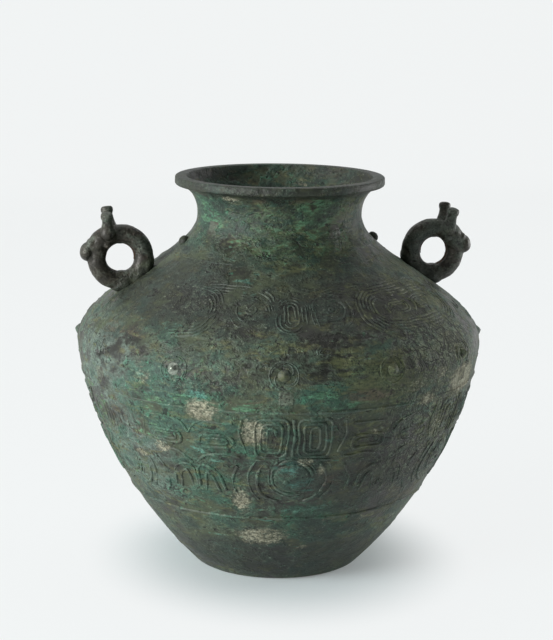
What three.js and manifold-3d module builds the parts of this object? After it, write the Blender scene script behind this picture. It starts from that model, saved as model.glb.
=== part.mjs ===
// An archaic bronze lei: a broad-shouldered jar for wine with a ring handle cast on to each side.
// Millimetres, +Z up. The origin is the centre of the resting face, and the handles lie on the X axis.
import * as THREE from "three";
import { mergeVertices } from "three/addons/utils/BufferGeometryUtils.js";
import Module from "manifold-3d";

const wasm = await Module();
wasm.setup();

const point = (x, y) => new THREE.Vector2(x, y);

// Driving dimensions of the jar. The heights are stacked: foot to belly, belly to neck, neck to lip, lip.
const FOOT_RADIUS = 77.7;
const BELLY_RADIUS = 187.7;
const NECK_RADIUS = 76.1;
const LIP_RADIUS = 97;
const BELLY_RISE = 214;
const SHOULDER_RISE = 115;
const NECK_RISE = 28;
const LIP_THICKNESS = 8;
const LIP_LAND = 11;
const LIP_ROUNDING = 2;
const WALL = 4.5;
const FOOT_ROUNDING = 5;
const REST_LAND = 17;
const UNDERSIDE_RECESS = 3;

// How far each end of a wall curve keeps its direction, and how far the foot flares from upright.
const FOOT_REACH = 129.5;
const FOOT_FLARE = THREE.MathUtils.degToRad(44.7);
const BELLY_REACH_BELOW = 21;
const BELLY_REACH_ABOVE = 42.3;
const NECK_REACH_BELOW = 37.7;
const NECK_REACH_ABOVE = 23.4;
const LIP_REACH = 3.3;

// Cast relief that stands out from the wall.
const BOW_STRING_HEIGHTS = [78, 185.5];
const BOW_STRING_WIDTH = 3.2;
const BOW_STRING_RELIEF = 1.3;
const WHORL_COUNT = 12;
const WHORL_HEIGHT = 219;
const WHORL_FIRST_ANGLE = -9.6;
const WHORL_BOSS_RADIUS = 5.6;
const WHORL_BOSS_RELIEF = 4.2;
const NECK_KNOB_ANGLES = [0, 180];
const NECK_KNOB_HEIGHT = 305;
const NECK_KNOB_RADIUS = 5.4;

// The main lines of the cast ornament, as ridges with a sharp crest and a foot that is sunk in the wall.
// A unit's lines are given to the right of its middle and up the wall from there.
const FRONT_ANGLE = -96.7;
const BACK_ANGLE = FRONT_ANGLE + 180;
const RIDGE_RELIEF = 1.3;
const RIDGE_SINK = 2;
const RIDGE_FOOT_WIDTH = 6.4;
const DRAGON_HEIGHT = 264;
const DRAGON_OFFSET_ANGLE = 47.7;
const DRAGON_COIL = { x: 0, y: -2, halfWidth: 61, halfHeight: 32, corner: 32 };
const DRAGON_COIL_INSIDE = { x: 0, y: -2, halfWidth: 43, halfHeight: 14, corner: 14 };
const DRAGON_NECK = [point(-34, 27), point(-60, 28), point(-84, 26), point(-101, 16), point(-104, 0)];
const BETWEEN_DRAGONS = { x: 0, y: -2, halfWidth: 12.6, halfHeight: 21, corner: 12.6 };
const MASK_HEIGHT = 140;
const MASK_COUNT = 6;
const MASK_EYE = { x: 0, y: -19, halfWidth: 17, halfHeight: 17, corner: 17 };
const MASK_CREST = { x: 18, y: 23, halfWidth: 13.5, halfHeight: 19, corner: 6 };
const MASK_JAW = [point(24, -3), point(31, -16), point(31, -30), point(24, -41), point(12, -47)];

// The ring handles. The ring stands off the shoulder by the distance from its centre to the wall.
const HANDLE_SEAT_RISE = 57;
const HANDLE_STANDOFF = 24.7;
const RING_RADIUS = 21.6;
const RING_TUBE_RADIUS = 8.8;
const CORE_RADIUS = 5;
const CORE_SLOT_WIDTH = 5;
const CORE_END_BELOW_CENTRE = 9;
const TANG_RADIUS = 3.6;
const TANG_SPACING = 18;
const TANG_HEAD_RADIUS = 6.4;
const TANG_HEAD_THICKNESS = 3.2;

// The animal's head on each ring. Each lump has its half axes, its angle up round the ring from the
// outward side, and how far its centre lies outside the middle of the ring's tube.
const SKULL = { angle: 38.3, outside: 2.6, along: 15.5, across: 9.6, halfWidth: 11.5 };
const BROW = { angle: 31.3, outside: 8.2, along: 5.2, across: 6.2, halfWidth: 8.6 };
const MUZZLE = { angle: 10.1, outside: 9.3, along: 7.7, across: 6.3, halfWidth: 8.4 };
const EAR = { angle: 61.1, outside: -1.7, along: 5.2, across: 3.2, halfWidth: 12.6 };

// The bottle-shaped horns, each on a peg in a socket of the skull.
const HORN_FRONT = { angle: 59, outside: 8.1, side: 7.6 };
const HORN_BACK = { angle: 67, outside: 6.1, side: 7.6 };
const HORN_LENGTH = 19;
const HORN_LEAN = THREE.MathUtils.degToRad(15);
const HORN_ROOT_RADIUS = 5;
const HORN_WAIST_RADIUS = 4.2;
const HORN_CAP_RADIUS = 5.4;
const HORN_CAP_HEIGHT = 6;
const HORN_COLLAR_HEIGHT = 1;
const HORN_PEG_RADIUS = 2.2;
const HORN_PEG_LENGTH = 5;

// The bronze spacers that held the mould's core off its outer sections, caught in the wall.
const CHAPLET_SIDE = 14;
const CHAPLET_LOWER_HEIGHT = 58;
const CHAPLET_BELLY_HEIGHT = 199;
const CHAPLET_NECK_HEIGHT = 322;
const CHAPLET_ROWS = [
  { name: "lower", height: CHAPLET_LOWER_HEIGHT, count: 6, firstAngle: -105.6 },
  { name: "belly", height: CHAPLET_BELLY_HEIGHT, count: 6, firstAngle: -39 },
  { name: "neck", height: CHAPLET_NECK_HEIGHT, count: 4, firstAngle: -62 },
];

// Clearance between pieces that touch on the real jar.
const GAP = 0.3;

// How finely round shapes are cut.
const AROUND_JAR = 48;
const LOWER_WALL_STEPS = 8;
const SHOULDER_STEPS = 9;
const NECK_STEPS = 4;
const ROUNDING_STEPS = 2;
const AROUND_RING = 30;
const AROUND_RING_TUBE = 10;
const AROUND_CORE_TUBE = 8;
const AROUND_SMALL = 10;
const AROUND_BOSS = 8;
const DOWN_SMALL = 6;
const AROUND_CORNER = 6;
const RIDGE_STEP = 20;
const FEWEST_LOOP_STEPS = 8;
const FEWEST_LINE_STEPS = 3;
const RIDGE_CURVE_STEPS = 24;

const BELLY_HEIGHT = BELLY_RISE;
const NECK_HEIGHT = BELLY_HEIGHT + SHOULDER_RISE;
const LIP_HEIGHT = NECK_HEIGHT + NECK_RISE;
const TOP = LIP_HEIGHT + LIP_THICKNESS;
const MOUTH_RADIUS = LIP_RADIUS - LIP_LAND;
const FLOOR_HEIGHT = UNDERSIDE_RECESS + WALL;
const SMALL = 1e-3;

// The three curves of the outer wall, as radius and height.
const LOWER_WALL = new THREE.CubicBezierCurve(
  point(FOOT_RADIUS, 0),
  point(FOOT_RADIUS + FOOT_REACH * Math.sin(FOOT_FLARE), FOOT_REACH * Math.cos(FOOT_FLARE)),
  point(BELLY_RADIUS, BELLY_HEIGHT - BELLY_REACH_BELOW),
  point(BELLY_RADIUS, BELLY_HEIGHT),
);
const SHOULDER = new THREE.CubicBezierCurve(
  point(BELLY_RADIUS, BELLY_HEIGHT),
  point(BELLY_RADIUS, BELLY_HEIGHT + BELLY_REACH_ABOVE),
  point(NECK_RADIUS, NECK_HEIGHT - NECK_REACH_BELOW),
  point(NECK_RADIUS, NECK_HEIGHT),
);
const NECK = new THREE.CubicBezierCurve(
  point(NECK_RADIUS, NECK_HEIGHT),
  point(NECK_RADIUS, NECK_HEIGHT + NECK_REACH_ABOVE),
  point(LIP_RADIUS - LIP_ROUNDING - LIP_REACH, LIP_HEIGHT),
  point(LIP_RADIUS - LIP_ROUNDING, LIP_HEIGHT),
);

const OUTER_WALL = new THREE.CurvePath();
OUTER_WALL.add(LOWER_WALL);
OUTER_WALL.add(SHOULDER);
OUTER_WALL.add(NECK);

// A closed geometry as a solid that can be cut and joined.
function solidOf(geometry) {
  const bare = geometry.clone();
  bare.deleteAttribute("normal");
  bare.deleteAttribute("uv");
  const merged = mergeVertices(bare, SMALL);
  return new wasm.Manifold(
    new wasm.Mesh({
      numProp: 3,
      vertProperties: merged.attributes.position.array,
      triVerts: new Uint32Array(merged.index.array),
    }),
  );
}

// A solid as a geometry that a mesh can show.
function geometryOf(solid) {
  const mesh = solid.getMesh();
  const geometry = new THREE.BufferGeometry();
  geometry.setAttribute("position", new THREE.BufferAttribute(mesh.vertProperties, 3));
  geometry.setIndex(new THREE.BufferAttribute(mesh.triVerts, 1));
  geometry.computeVertexNormals();
  return geometry;
}

// A point on a wall curve, moved inwards from the outer face by a depth.
function pointInWall(curve, t, depth) {
  const at = curve.getPoint(t);
  const along = curve.getTangent(t);
  return point(at.x - along.y * depth, at.y + along.x * depth);
}

// Evenly stepped points of a wall curve at a depth, from one share of the curve to another.
function wallPoints(curve, steps, depth, from = 0, to = 1) {
  const points = [];
  for (let i = 0; i <= steps; i++) {
    points.push(pointInWall(curve, from + ((to - from) * i) / steps, depth));
  }
  return points;
}

// Where a wall curve passes a height: the share of the curve, found by halving.
function shareAtHeight(curve, height, depth = 0) {
  let low = 0;
  let high = 1;
  for (let i = 0; i < 40; i++) {
    const middle = (low + high) / 2;
    if (pointInWall(curve, middle, depth).y < height) low = middle;
    else high = middle;
  }
  return (low + high) / 2;
}

// The outer face at a height: its point, and the direction that it faces, as radius and height.
function outerFaceAt(height) {
  let curve = NECK;
  if (height < NECK_HEIGHT) curve = SHOULDER;
  if (height < BELLY_HEIGHT) curve = LOWER_WALL;
  const share = shareAtHeight(curve, height);
  const along = curve.getTangent(share);
  return { at: curve.getPoint(share), facing: point(along.y, -along.x) };
}

// A profile of radius and height turned about the jar's axis.
function turned(points) {
  return solidOf(new THREE.LatheGeometry(points, AROUND_JAR).rotateX(Math.PI / 2));
}

// The outer profile from the foot to the lip's underside, with the bow-string ridges in it.
function outerProfile() {
  const footShare = shareAtHeight(LOWER_WALL, FOOT_ROUNDING / 2);
  const points = [
    ...wallPoints(LOWER_WALL, LOWER_WALL_STEPS, 0, footShare),
    ...wallPoints(SHOULDER, SHOULDER_STEPS, 0).slice(1),
    ...wallPoints(NECK, NECK_STEPS, 0).slice(1),
  ];
  const ridges = BOW_STRING_HEIGHTS.map((height) => outerFaceAt(height));
  const clear = points.filter((p) => ridges.every((ridge) => p.distanceTo(ridge.at) > BOW_STRING_WIDTH));
  for (const { at, facing } of ridges) {
    const half = point(-facing.y, facing.x).multiplyScalar(BOW_STRING_WIDTH / 2);
    const crest = at.clone().addScaledVector(facing, BOW_STRING_RELIEF);
    clear.push(at.clone().sub(half), crest, at.clone().add(half));
  }
  return clear.sort((a, b) => a.y - b.y);
}

// The lip: a rounded outer edge and a flat land round the mouth.
function lipProfile() {
  return [
    point(LIP_RADIUS, LIP_HEIGHT + LIP_ROUNDING),
    point(LIP_RADIUS, TOP - LIP_ROUNDING),
    point(LIP_RADIUS - LIP_ROUNDING, TOP),
    point(MOUTH_RADIUS + LIP_ROUNDING / 2, TOP),
    point(MOUTH_RADIUS, TOP - LIP_ROUNDING / 2),
  ];
}

// The inner face from the mouth down to the floor.
function innerProfile() {
  const neckInside = NECK_RADIUS - WALL;
  const mouth = new THREE.CubicBezierCurve(
    point(MOUTH_RADIUS, TOP - LIP_ROUNDING / 2),
    point(MOUTH_RADIUS, LIP_HEIGHT - LIP_THICKNESS / 2),
    point(neckInside, NECK_HEIGHT + NECK_REACH_ABOVE / 2),
    point(neckInside, NECK_HEIGHT),
  );
  const floorShare = shareAtHeight(LOWER_WALL, FLOOR_HEIGHT + FOOT_ROUNDING, WALL);
  const wallFoot = pointInWall(LOWER_WALL, floorShare, WALL);
  return [
    ...mouth.getPoints(NECK_STEPS).slice(1),
    ...wallPoints(SHOULDER, SHOULDER_STEPS, WALL).reverse().slice(1),
    ...wallPoints(LOWER_WALL, LOWER_WALL_STEPS, WALL, floorShare).reverse().slice(1),
    point(wallFoot.x - FOOT_ROUNDING * 2, FLOOR_HEIGHT),
    point(0, FLOOR_HEIGHT),
  ];
}

// The jar before any hole is cut in its wall.
function plainJar() {
  const restOuter = FOOT_RADIUS - FOOT_ROUNDING;
  const restInner = restOuter - REST_LAND;
  const wall = outerProfile();
  const rounding = new THREE.QuadraticBezierCurve(point(restOuter, 0), point(FOOT_RADIUS, 0), wall[0]);
  const jar = turned([
    point(0, UNDERSIDE_RECESS),
    point(restInner - UNDERSIDE_RECESS, UNDERSIDE_RECESS),
    point(restInner, 0),
    ...rounding.getPoints(ROUNDING_STEPS).slice(0, -1),
    ...wall,
    ...lipProfile(),
    ...innerProfile(),
  ]);
  return withOrnament(withNeckKnobs(withWhorlBosses(jar)));
}

// Puts a geometry that was made round the origin, with +Z out of the wall, on the wall's outer face.
function placedOnWall(geometry, height, angle) {
  const { at, facing } = outerFaceAt(height);
  geometry.rotateY(Math.atan2(facing.x, facing.y));
  geometry.translate(at.x, 0, at.y);
  geometry.rotateZ(THREE.MathUtils.degToRad(angle));
  return geometry;
}

// The jar with round bosses joined to its outer face. The profile is the part of a boss that stands out.
function withBosses(jar, profile, height, angles) {
  const radius = profile[0].x;
  const closed = [point(0, -WALL / 2), point(radius, -WALL / 2), ...profile];
  return angles.reduce((joined, angle) => {
    const boss = new THREE.LatheGeometry(closed, AROUND_BOSS).rotateX(Math.PI / 2);
    return joined.add(solidOf(placedOnWall(boss, height, angle)));
  }, jar);
}

// The jar with the conical boss of each whorl.
function withWhorlBosses(jar) {
  const angles = Array.from({ length: WHORL_COUNT }, (_, i) => WHORL_FIRST_ANGLE + (360 / WHORL_COUNT) * i);
  const cone = [point(WHORL_BOSS_RADIUS, WHORL_BOSS_RELIEF / 4), point(0, WHORL_BOSS_RELIEF)];
  return withBosses(jar, cone, WHORL_HEIGHT, angles);
}

// The jar with the small round knob at the root of its neck above each handle.
function withNeckKnobs(jar) {
  const half = NECK_KNOB_RADIUS / 2;
  const dome = [
    point(NECK_KNOB_RADIUS, half),
    point(half * Math.SQRT2, half * Math.SQRT2 + half / 4),
    point(0, NECK_KNOB_RADIUS),
  ];
  return withBosses(jar, dome, NECK_KNOB_HEIGHT, NECK_KNOB_ANGLES);
}

// The same line with points at even steps of about one length.
function evenLine(points, closed) {
  const curve = new THREE.CurvePath();
  const ends = closed ? [...points.slice(1), points[0]] : points.slice(1);
  ends.forEach((end, i) => curve.add(new THREE.LineCurve(points[i], end)));
  const fewest = closed ? FEWEST_LOOP_STEPS : FEWEST_LINE_STEPS;
  const steps = Math.max(fewest, Math.round(curve.getLength() / RIDGE_STEP));
  return Array.from({ length: closed ? steps : steps + 1 }, (_, i) => curve.getPoint(i / steps));
}

// A closed line with round corners. It has no straight sides where the corners fill it.
function roundedLoop({ x, y, halfWidth, halfHeight, corner }) {
  const points = [];
  for (let quarter = 0; quarter < 4; quarter++) {
    const right = quarter === 0 || quarter === 3 ? 1 : -1;
    const up = quarter < 2 ? 1 : -1;
    for (let i = 0; i <= AROUND_CORNER; i++) {
      const turn = (Math.PI / 2) * (quarter + i / AROUND_CORNER);
      const across = x + right * (halfWidth - corner) + corner * Math.cos(turn);
      points.push(point(across, y + up * (halfHeight - corner) + corner * Math.sin(turn)));
    }
  }
  return evenLine(points.filter((p, i) => p.distanceTo(points[(i + 1) % points.length]) > SMALL), true);
}

// An open line through a few points.
function smoothLine(points) {
  return evenLine(new THREE.SplineCurve(points).getPoints(RIDGE_CURVE_STEPS), false);
}

// The same line on the other side of its unit's middle.
function mirroredLine(points) {
  return points.map((p) => point(-p.x, p.y));
}

// A point on the jar, from the middle of a unit of ornament and out of the outer face.
function pointByUnit(unit, right, up, out) {
  const share = unit.share + up / OUTER_WALL.getLength();
  const at = OUTER_WALL.getPoint(share);
  const along = OUTER_WALL.getTangent(share);
  const turn = unit.turn + right / unit.radius;
  const reach = at.x + out * along.y;
  return [reach * Math.cos(turn), reach * Math.sin(turn), at.y - out * along.x];
}

// A ridge along a line of a unit: a three-sided bar whose crest stands out and whose foot is sunk.
function ridge(unit, line, closed) {
  const count = line.length;
  const places = [];
  for (let i = 0; i < count; i++) {
    const before = line[closed ? (i + count - 1) % count : Math.max(0, i - 1)];
    const after = line[closed ? (i + 1) % count : Math.min(count - 1, i + 1)];
    const side = after.clone().sub(before).setLength(RIDGE_FOOT_WIDTH / 2);
    const { x, y } = line[i];
    places.push(...pointByUnit(unit, x - side.y, y + side.x, -RIDGE_SINK));
    places.push(...pointByUnit(unit, x, y, RIDGE_RELIEF));
    places.push(...pointByUnit(unit, x + side.y, y - side.x, -RIDGE_SINK));
  }
  const faces = closed ? [] : [0, 2, 1, 3 * count - 3, 3 * count - 2, 3 * count - 1];
  for (let i = 0; i < (closed ? count : count - 1); i++) {
    const here = 3 * i;
    const next = 3 * ((i + 1) % count);
    for (const [a, b] of [[0, 1], [1, 2], [2, 0]]) {
      faces.push(here + a, here + b, next + b, here + a, next + b, next + a);
    }
  }
  const bar = new THREE.BufferGeometry();
  bar.setAttribute("position", new THREE.Float32BufferAttribute(places, 3));
  bar.setIndex(faces);
  return solidOf(bar);
}

// A unit of ornament by its height and its angle round the jar.
function unitAt(height, angle) {
  const share = shareAtHeight(OUTER_WALL, height);
  return { share, radius: OUTER_WALL.getPoint(share).x, turn: THREE.MathUtils.degToRad(angle) };
}

// The ridges of one coiled dragon. Its head is towards the middle of the side that it belongs to.
function dragonRidges(axis, side) {
  const unit = unitAt(DRAGON_HEIGHT, axis + side * DRAGON_OFFSET_ANGLE);
  const turnedTo = (line) => (side < 0 ? mirroredLine(line).reverse() : line);
  const loops = [DRAGON_COIL, DRAGON_COIL_INSIDE].map(roundedLoop);
  const ridges = loops.map((loop) => ridge(unit, turnedTo(loop), true));
  return [...ridges, ridge(unit, turnedTo(smoothLine(DRAGON_NECK)), false)];
}

// The ridges of one mask: its eye, and the crest and jaw of each side.
function maskRidges(angle) {
  const unit = unitAt(MASK_HEIGHT, angle);
  const crest = roundedLoop(MASK_CREST);
  const jaw = smoothLine(MASK_JAW);
  return [
    ridge(unit, roundedLoop(MASK_EYE), true),
    ridge(unit, crest, true),
    ridge(unit, mirroredLine(crest).reverse(), true),
    ridge(unit, jaw, false),
    ridge(unit, mirroredLine(jaw).reverse(), false),
  ];
}

// The jar with the main lines of its ornament.
function withOrnament(jar) {
  const ridges = [];
  for (const axis of [FRONT_ANGLE, BACK_ANGLE]) {
    ridges.push(...dragonRidges(axis, -1), ...dragonRidges(axis, 1));
    ridges.push(ridge(unitAt(DRAGON_HEIGHT, axis), roundedLoop(BETWEEN_DRAGONS), true));
  }
  for (let i = 0; i < MASK_COUNT; i++) ridges.push(...maskRidges(FRONT_ANGLE + (360 / MASK_COUNT) * i));
  return ridges.reduce((joined, solid) => joined.add(solid), jar);
}

// A square block through the wall where a chaplet sits.
function chapletBlock(row, index, growth) {
  const side = CHAPLET_SIDE + 2 * growth;
  const block = new THREE.BoxGeometry(side, side, WALL * 4);
  return solidOf(placedOnWall(block, row.height, row.firstAngle + (360 / row.count) * index));
}

// The ring's centre and the way the shoulder faces at the handle's seat, on the +X side.
const SEAT = outerFaceAt(BELLY_HEIGHT + HANDLE_SEAT_RISE);
const RING_CENTRE = SEAT.at.clone().addScaledVector(SEAT.facing, HANDLE_STANDOFF);
const SEAT_TILT = Math.atan2(SEAT.facing.x, SEAT.facing.y);

// The shoulder as a filled solid, its face moved inwards by a depth, or outwards where that is below 0.
function filledShoulder(depth) {
  const points = wallPoints(SHOULDER, SHOULDER_STEPS, depth);
  return turned([point(0, points[0].y), ...points, point(0, points[points.length - 1].y)]);
}

// An upright cylinder geometry through the seat, on the line of one tang.
function tangCylinder(side, radius, length) {
  const cylinder = new THREE.CylinderGeometry(radius, radius, length, AROUND_SMALL);
  cylinder.rotateX(Math.PI / 2);
  cylinder.translate((side * TANG_SPACING) / 2, 0, 0);
  cylinder.rotateY(SEAT_TILT);
  cylinder.translate(SEAT.at.x, 0, SEAT.at.y);
  return solidOf(cylinder);
}

// The place of a feature of the head, as a point in the plane of the ring.
function placeOnRing({ angle, outside }) {
  const turn = THREE.MathUtils.degToRad(angle);
  const reach = RING_RADIUS + outside;
  return point(RING_CENTRE.x + reach * Math.cos(turn), RING_CENTRE.y + reach * Math.sin(turn));
}

// An egg-shaped lump of the head, in the middle, or on one side of it where a side is given.
function lump(shape, side = 0) {
  const at = placeOnRing(shape);
  const egg = new THREE.SphereGeometry(1, AROUND_SMALL, DOWN_SMALL);
  egg.scale(shape.across, side === 0 ? shape.halfWidth : shape.across, shape.along);
  egg.rotateY(-THREE.MathUtils.degToRad(shape.angle));
  egg.translate(at.x, side * (shape.halfWidth - shape.across), at.y);
  return solidOf(egg);
}

// A ring about the handle's own axis with a round section.
function ringSolid(tubeRadius, aroundTube) {
  const ring = new THREE.TorusGeometry(RING_RADIUS, tubeRadius, aroundTube, AROUND_RING);
  ring.rotateX(Math.PI / 2);
  ring.translate(RING_CENTRE.x, 0, RING_CENTRE.y);
  return solidOf(ring);
}

// The clay core's shape: a round ring and its neck to the inside of the hole, ended above the seat.
function coreSolid(growth) {
  const inner = RING_RADIUS - RING_TUBE_RADIUS + (growth > 0 ? -GAP : GAP);
  const half = CORE_SLOT_WIDTH / 2 + growth;
  const below = [point(inner, -half), point(RING_RADIUS, -half)];
  const over = [point(RING_RADIUS, half), point(inner, half)];
  const neck = new THREE.LatheGeometry([...below, ...over, below[0]], AROUND_RING);
  neck.rotateY(Math.PI / 2);
  neck.translate(RING_CENTRE.x, 0, RING_CENTRE.y);
  const reach = 4 * RING_RADIUS;
  const above = new THREE.BoxGeometry(reach, reach, reach);
  above.translate(0, 0, reach / 2 - CORE_END_BELOW_CENTRE - growth);
  above.rotateY(SEAT_TILT);
  above.translate(RING_CENTRE.x, 0, RING_CENTRE.y);
  return ringSolid(CORE_RADIUS + growth, AROUND_CORE_TUBE).add(solidOf(neck)).intersect(solidOf(above));
}

// A profile turned about a horn's own line. Side is -1 for the front horn and +1 for the back one.
function turnedOnHorn(points, side) {
  const root = side < 0 ? HORN_FRONT : HORN_BACK;
  const at = placeOnRing(root);
  const lathe = new THREE.LatheGeometry(points, AROUND_SMALL);
  lathe.rotateX(Math.PI / 2 - side * HORN_LEAN);
  lathe.translate(at.x, side * root.side, at.y);
  return solidOf(lathe);
}

// The socket for a horn: the peg's hole, and room for the horn's root above it.
function hornSocket(side) {
  return turnedOnHorn(
    [
      point(0, -HORN_PEG_LENGTH - GAP),
      point(HORN_PEG_RADIUS + GAP, -HORN_PEG_LENGTH - GAP),
      point(HORN_PEG_RADIUS + GAP, -GAP),
      point(HORN_ROOT_RADIUS + GAP, -GAP),
      point(HORN_ROOT_RADIUS + GAP, HORN_LENGTH),
      point(0, HORN_LENGTH),
    ],
    side,
  );
}

// A bottle-shaped horn: peg, root, waist with a collar, and a domed cap.
function horn(side) {
  const cap = HORN_LENGTH - HORN_CAP_HEIGHT;
  return turnedOnHorn(
    [
      point(0, -HORN_PEG_LENGTH),
      point(HORN_PEG_RADIUS, -HORN_PEG_LENGTH),
      point(HORN_PEG_RADIUS, 0),
      point(HORN_ROOT_RADIUS, 0),
      point(HORN_WAIST_RADIUS, cap / 2),
      point(HORN_WAIST_RADIUS, cap - HORN_COLLAR_HEIGHT),
      point(HORN_CAP_RADIUS, cap),
      point(HORN_CAP_RADIUS, HORN_LENGTH - HORN_CAP_HEIGHT / 3),
      point(HORN_CAP_RADIUS * 0.7, HORN_LENGTH - HORN_CAP_HEIGHT / 10),
      point(0, HORN_LENGTH),
    ],
    side,
  );
}

// One cast-on handle for the +X side: ring, head, and two tangs whose heads lock inside the wall.
function handleLoop() {
  const skull = lump(SKULL).add(lump(BROW)).add(lump(MUZZLE)).add(lump(EAR, -1)).add(lump(EAR, 1));
  const hole = new THREE.CylinderGeometry(
    RING_RADIUS - RING_TUBE_RADIUS,
    RING_RADIUS - RING_TUBE_RADIUS,
    4 * RING_RADIUS,
    AROUND_RING,
  );
  hole.translate(RING_CENTRE.x, 0, RING_CENTRE.y);
  let loop = ringSolid(RING_TUBE_RADIUS, AROUND_RING_TUBE).add(skull.subtract(solidOf(hole)));
  loop = loop.subtract(filledShoulder(-GAP)).subtract(coreSolid(GAP));
  loop = loop.subtract(hornSocket(-1)).subtract(hornSocket(1));
  const headRoom = filledShoulder(WALL + GAP).subtract(filledShoulder(WALL + GAP + TANG_HEAD_THICKNESS));
  for (const side of [-1, 1]) {
    const tang = tangCylinder(side, TANG_RADIUS, 2 * (WALL + GAP + TANG_HEAD_THICKNESS / 2));
    const head = tangCylinder(side, TANG_HEAD_RADIUS, 6 * WALL).intersect(headRoom);
    loop = loop.add(tang).add(head);
  }
  return loop;
}

// The jar with its windows for the chaplets and its holes for the tangs of both handles.
function vesselBody(jar) {
  let body = jar;
  for (const row of CHAPLET_ROWS) {
    for (let i = 0; i < row.count; i++) body = body.subtract(chapletBlock(row, i, GAP));
  }
  for (const side of [-1, 1]) {
    const hole = tangCylinder(side, TANG_RADIUS + GAP, 6 * WALL);
    body = body.subtract(hole).subtract(hole.rotate([0, 0, 180]));
  }
  return body;
}

const BRONZE = { color: 0x40554a, roughness: 0.62, metalness: 0.35 };
const HANDLE_BRONZE = { color: 0x3d3c36, roughness: 0.6, metalness: 0.4 };
const CHAPLET_BRONZE = { color: 0x9a917c, roughness: 0.75, metalness: 0.25 };
const FIRED_CLAY = { color: 0x6e5140, roughness: 0.95, metalness: 0 };

// A named mesh with its own material.
function piece(name, solid, finish) {
  const mesh = new THREE.Mesh(geometryOf(solid), new THREE.MeshStandardMaterial(finish));
  mesh.name = name;
  return mesh;
}

// The pieces of one handle. The left one is mirrored, so that each horn keeps its side of the ring.
function handle(name, mirrored) {
  const place = (solid) => (mirrored ? solid.mirror([1, 0, 0]) : solid);
  const group = new THREE.Group();
  group.add(
    piece(`handle_loop_${name}`, place(handleLoop()), HANDLE_BRONZE),
    piece(`handle_core_${name}`, place(coreSolid(0)), FIRED_CLAY),
    piece(`horn_${name}_front`, place(horn(-1)), HANDLE_BRONZE),
    piece(`horn_${name}_back`, place(horn(1)), HANDLE_BRONZE),
  );
  return group;
}

// The chaplets of the wall, each one the stretch of wall inside its block.
function chaplets(jar) {
  const group = new THREE.Group();
  for (const row of CHAPLET_ROWS) {
    for (let i = 0; i < row.count; i++) {
      const solid = jar.intersect(chapletBlock(row, i, 0));
      group.add(piece(`chaplet_${row.name}_${i + 1}`, solid, CHAPLET_BRONZE));
    }
  }
  return group;
}

const jar = plainJar();
const vessel = new THREE.Group();
vessel.add(piece("vessel_body", vesselBody(jar), BRONZE));
vessel.add(handle("right", false), handle("left", true));
vessel.add(chaplets(jar));

export default vessel;
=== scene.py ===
"""An archaic bronze lei, a jar for wine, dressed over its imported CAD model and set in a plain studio.

Sizes are millimetres and angles are degrees. Meshes are metres, in the frame of the CAD model: +Z up,
the ring handles on the X axis, and -Y towards the viewer.
"""

import logging
import math
import random
from collections.abc import Iterable, Sequence
from dataclasses import dataclass, field, replace
from enum import Enum
from functools import cached_property

import bmesh
import bpy
import numpy as np
from bpy.types import Material, Mesh, NodeSocket, NodeTree, Object
from mathutils import Matrix, Vector, kdtree, noise


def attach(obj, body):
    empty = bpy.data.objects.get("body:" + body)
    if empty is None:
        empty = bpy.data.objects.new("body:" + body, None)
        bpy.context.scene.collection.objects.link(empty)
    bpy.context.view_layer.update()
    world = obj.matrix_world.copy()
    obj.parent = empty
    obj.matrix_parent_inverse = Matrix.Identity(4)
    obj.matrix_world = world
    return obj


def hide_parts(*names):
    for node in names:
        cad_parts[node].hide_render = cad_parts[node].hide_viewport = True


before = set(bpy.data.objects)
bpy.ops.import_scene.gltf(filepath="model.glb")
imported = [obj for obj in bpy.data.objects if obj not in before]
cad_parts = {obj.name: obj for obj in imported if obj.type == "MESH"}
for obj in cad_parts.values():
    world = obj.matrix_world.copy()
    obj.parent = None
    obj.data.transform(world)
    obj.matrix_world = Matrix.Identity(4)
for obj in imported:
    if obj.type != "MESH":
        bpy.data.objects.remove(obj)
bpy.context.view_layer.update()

LOG = logging.getLogger("lei")
MM = 0.001
ROOT = "root"
# The module's noise of vectors starts from the clock unless it is given a seed.
STRAY_SEED = 7
# A handle's root takes some of the wall's colour, and painted shade, up to this far out of the shoulder,
# whose slope makes the way straight out of it this share of the way outwards.
ROOT_REACH = 14.0
SHOULDER_SLOPE = 0.75

Colour = tuple[float, float, float, float]
Point = tuple[float, float]
Triple = tuple[float, float, float]
Sockets = bpy.types.bpy_prop_collection


def linear(code: str) -> Colour:
    """Turns an sRGB hex value to linear colour.

    Args:
        code: the value as "#rrggbb".

    Returns:
        Red, green, blue and an alpha of 1.
    """
    parts = [int(code[i : i + 2], 16) / 255 for i in (1, 3, 5)]
    red, green, blue = (c / 12.92 if c <= 0.04045 else ((c + 0.055) / 1.055) ** 2.4 for c in parts)
    return (red, green, blue, 1.0)


def add(tree: NodeTree, kind: str, inputs: dict | tuple = (), **settings: object) -> Sockets:
    """Adds a node with its settings, its constants and its links.

    Args:
        tree: the tree that gets the node.
        kind: the node's type name.
        inputs: constants, or the sockets that feed it, by socket name or number, or in the sockets' order.
        settings: properties of the node itself.

    Returns:
        The sockets that the new node gives, by name or number.
    """
    node = tree.nodes.new(kind)
    for name, value in settings.items():
        setattr(node, name, value)
    for key, value in inputs.items() if isinstance(inputs, dict) else enumerate(inputs):
        if isinstance(value, NodeSocket):
            tree.links.new(value, node.inputs[key])
        else:
            node.inputs[key].default_value = value
    return node.outputs


def blank_material(name: str) -> Material:
    """A new material with an empty node tree.

    Args:
        name: the material's name.

    Returns:
        The material.
    """
    material = bpy.data.materials.new(name)
    material.use_nodes = True
    material.node_tree.nodes.clear()
    return material


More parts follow.
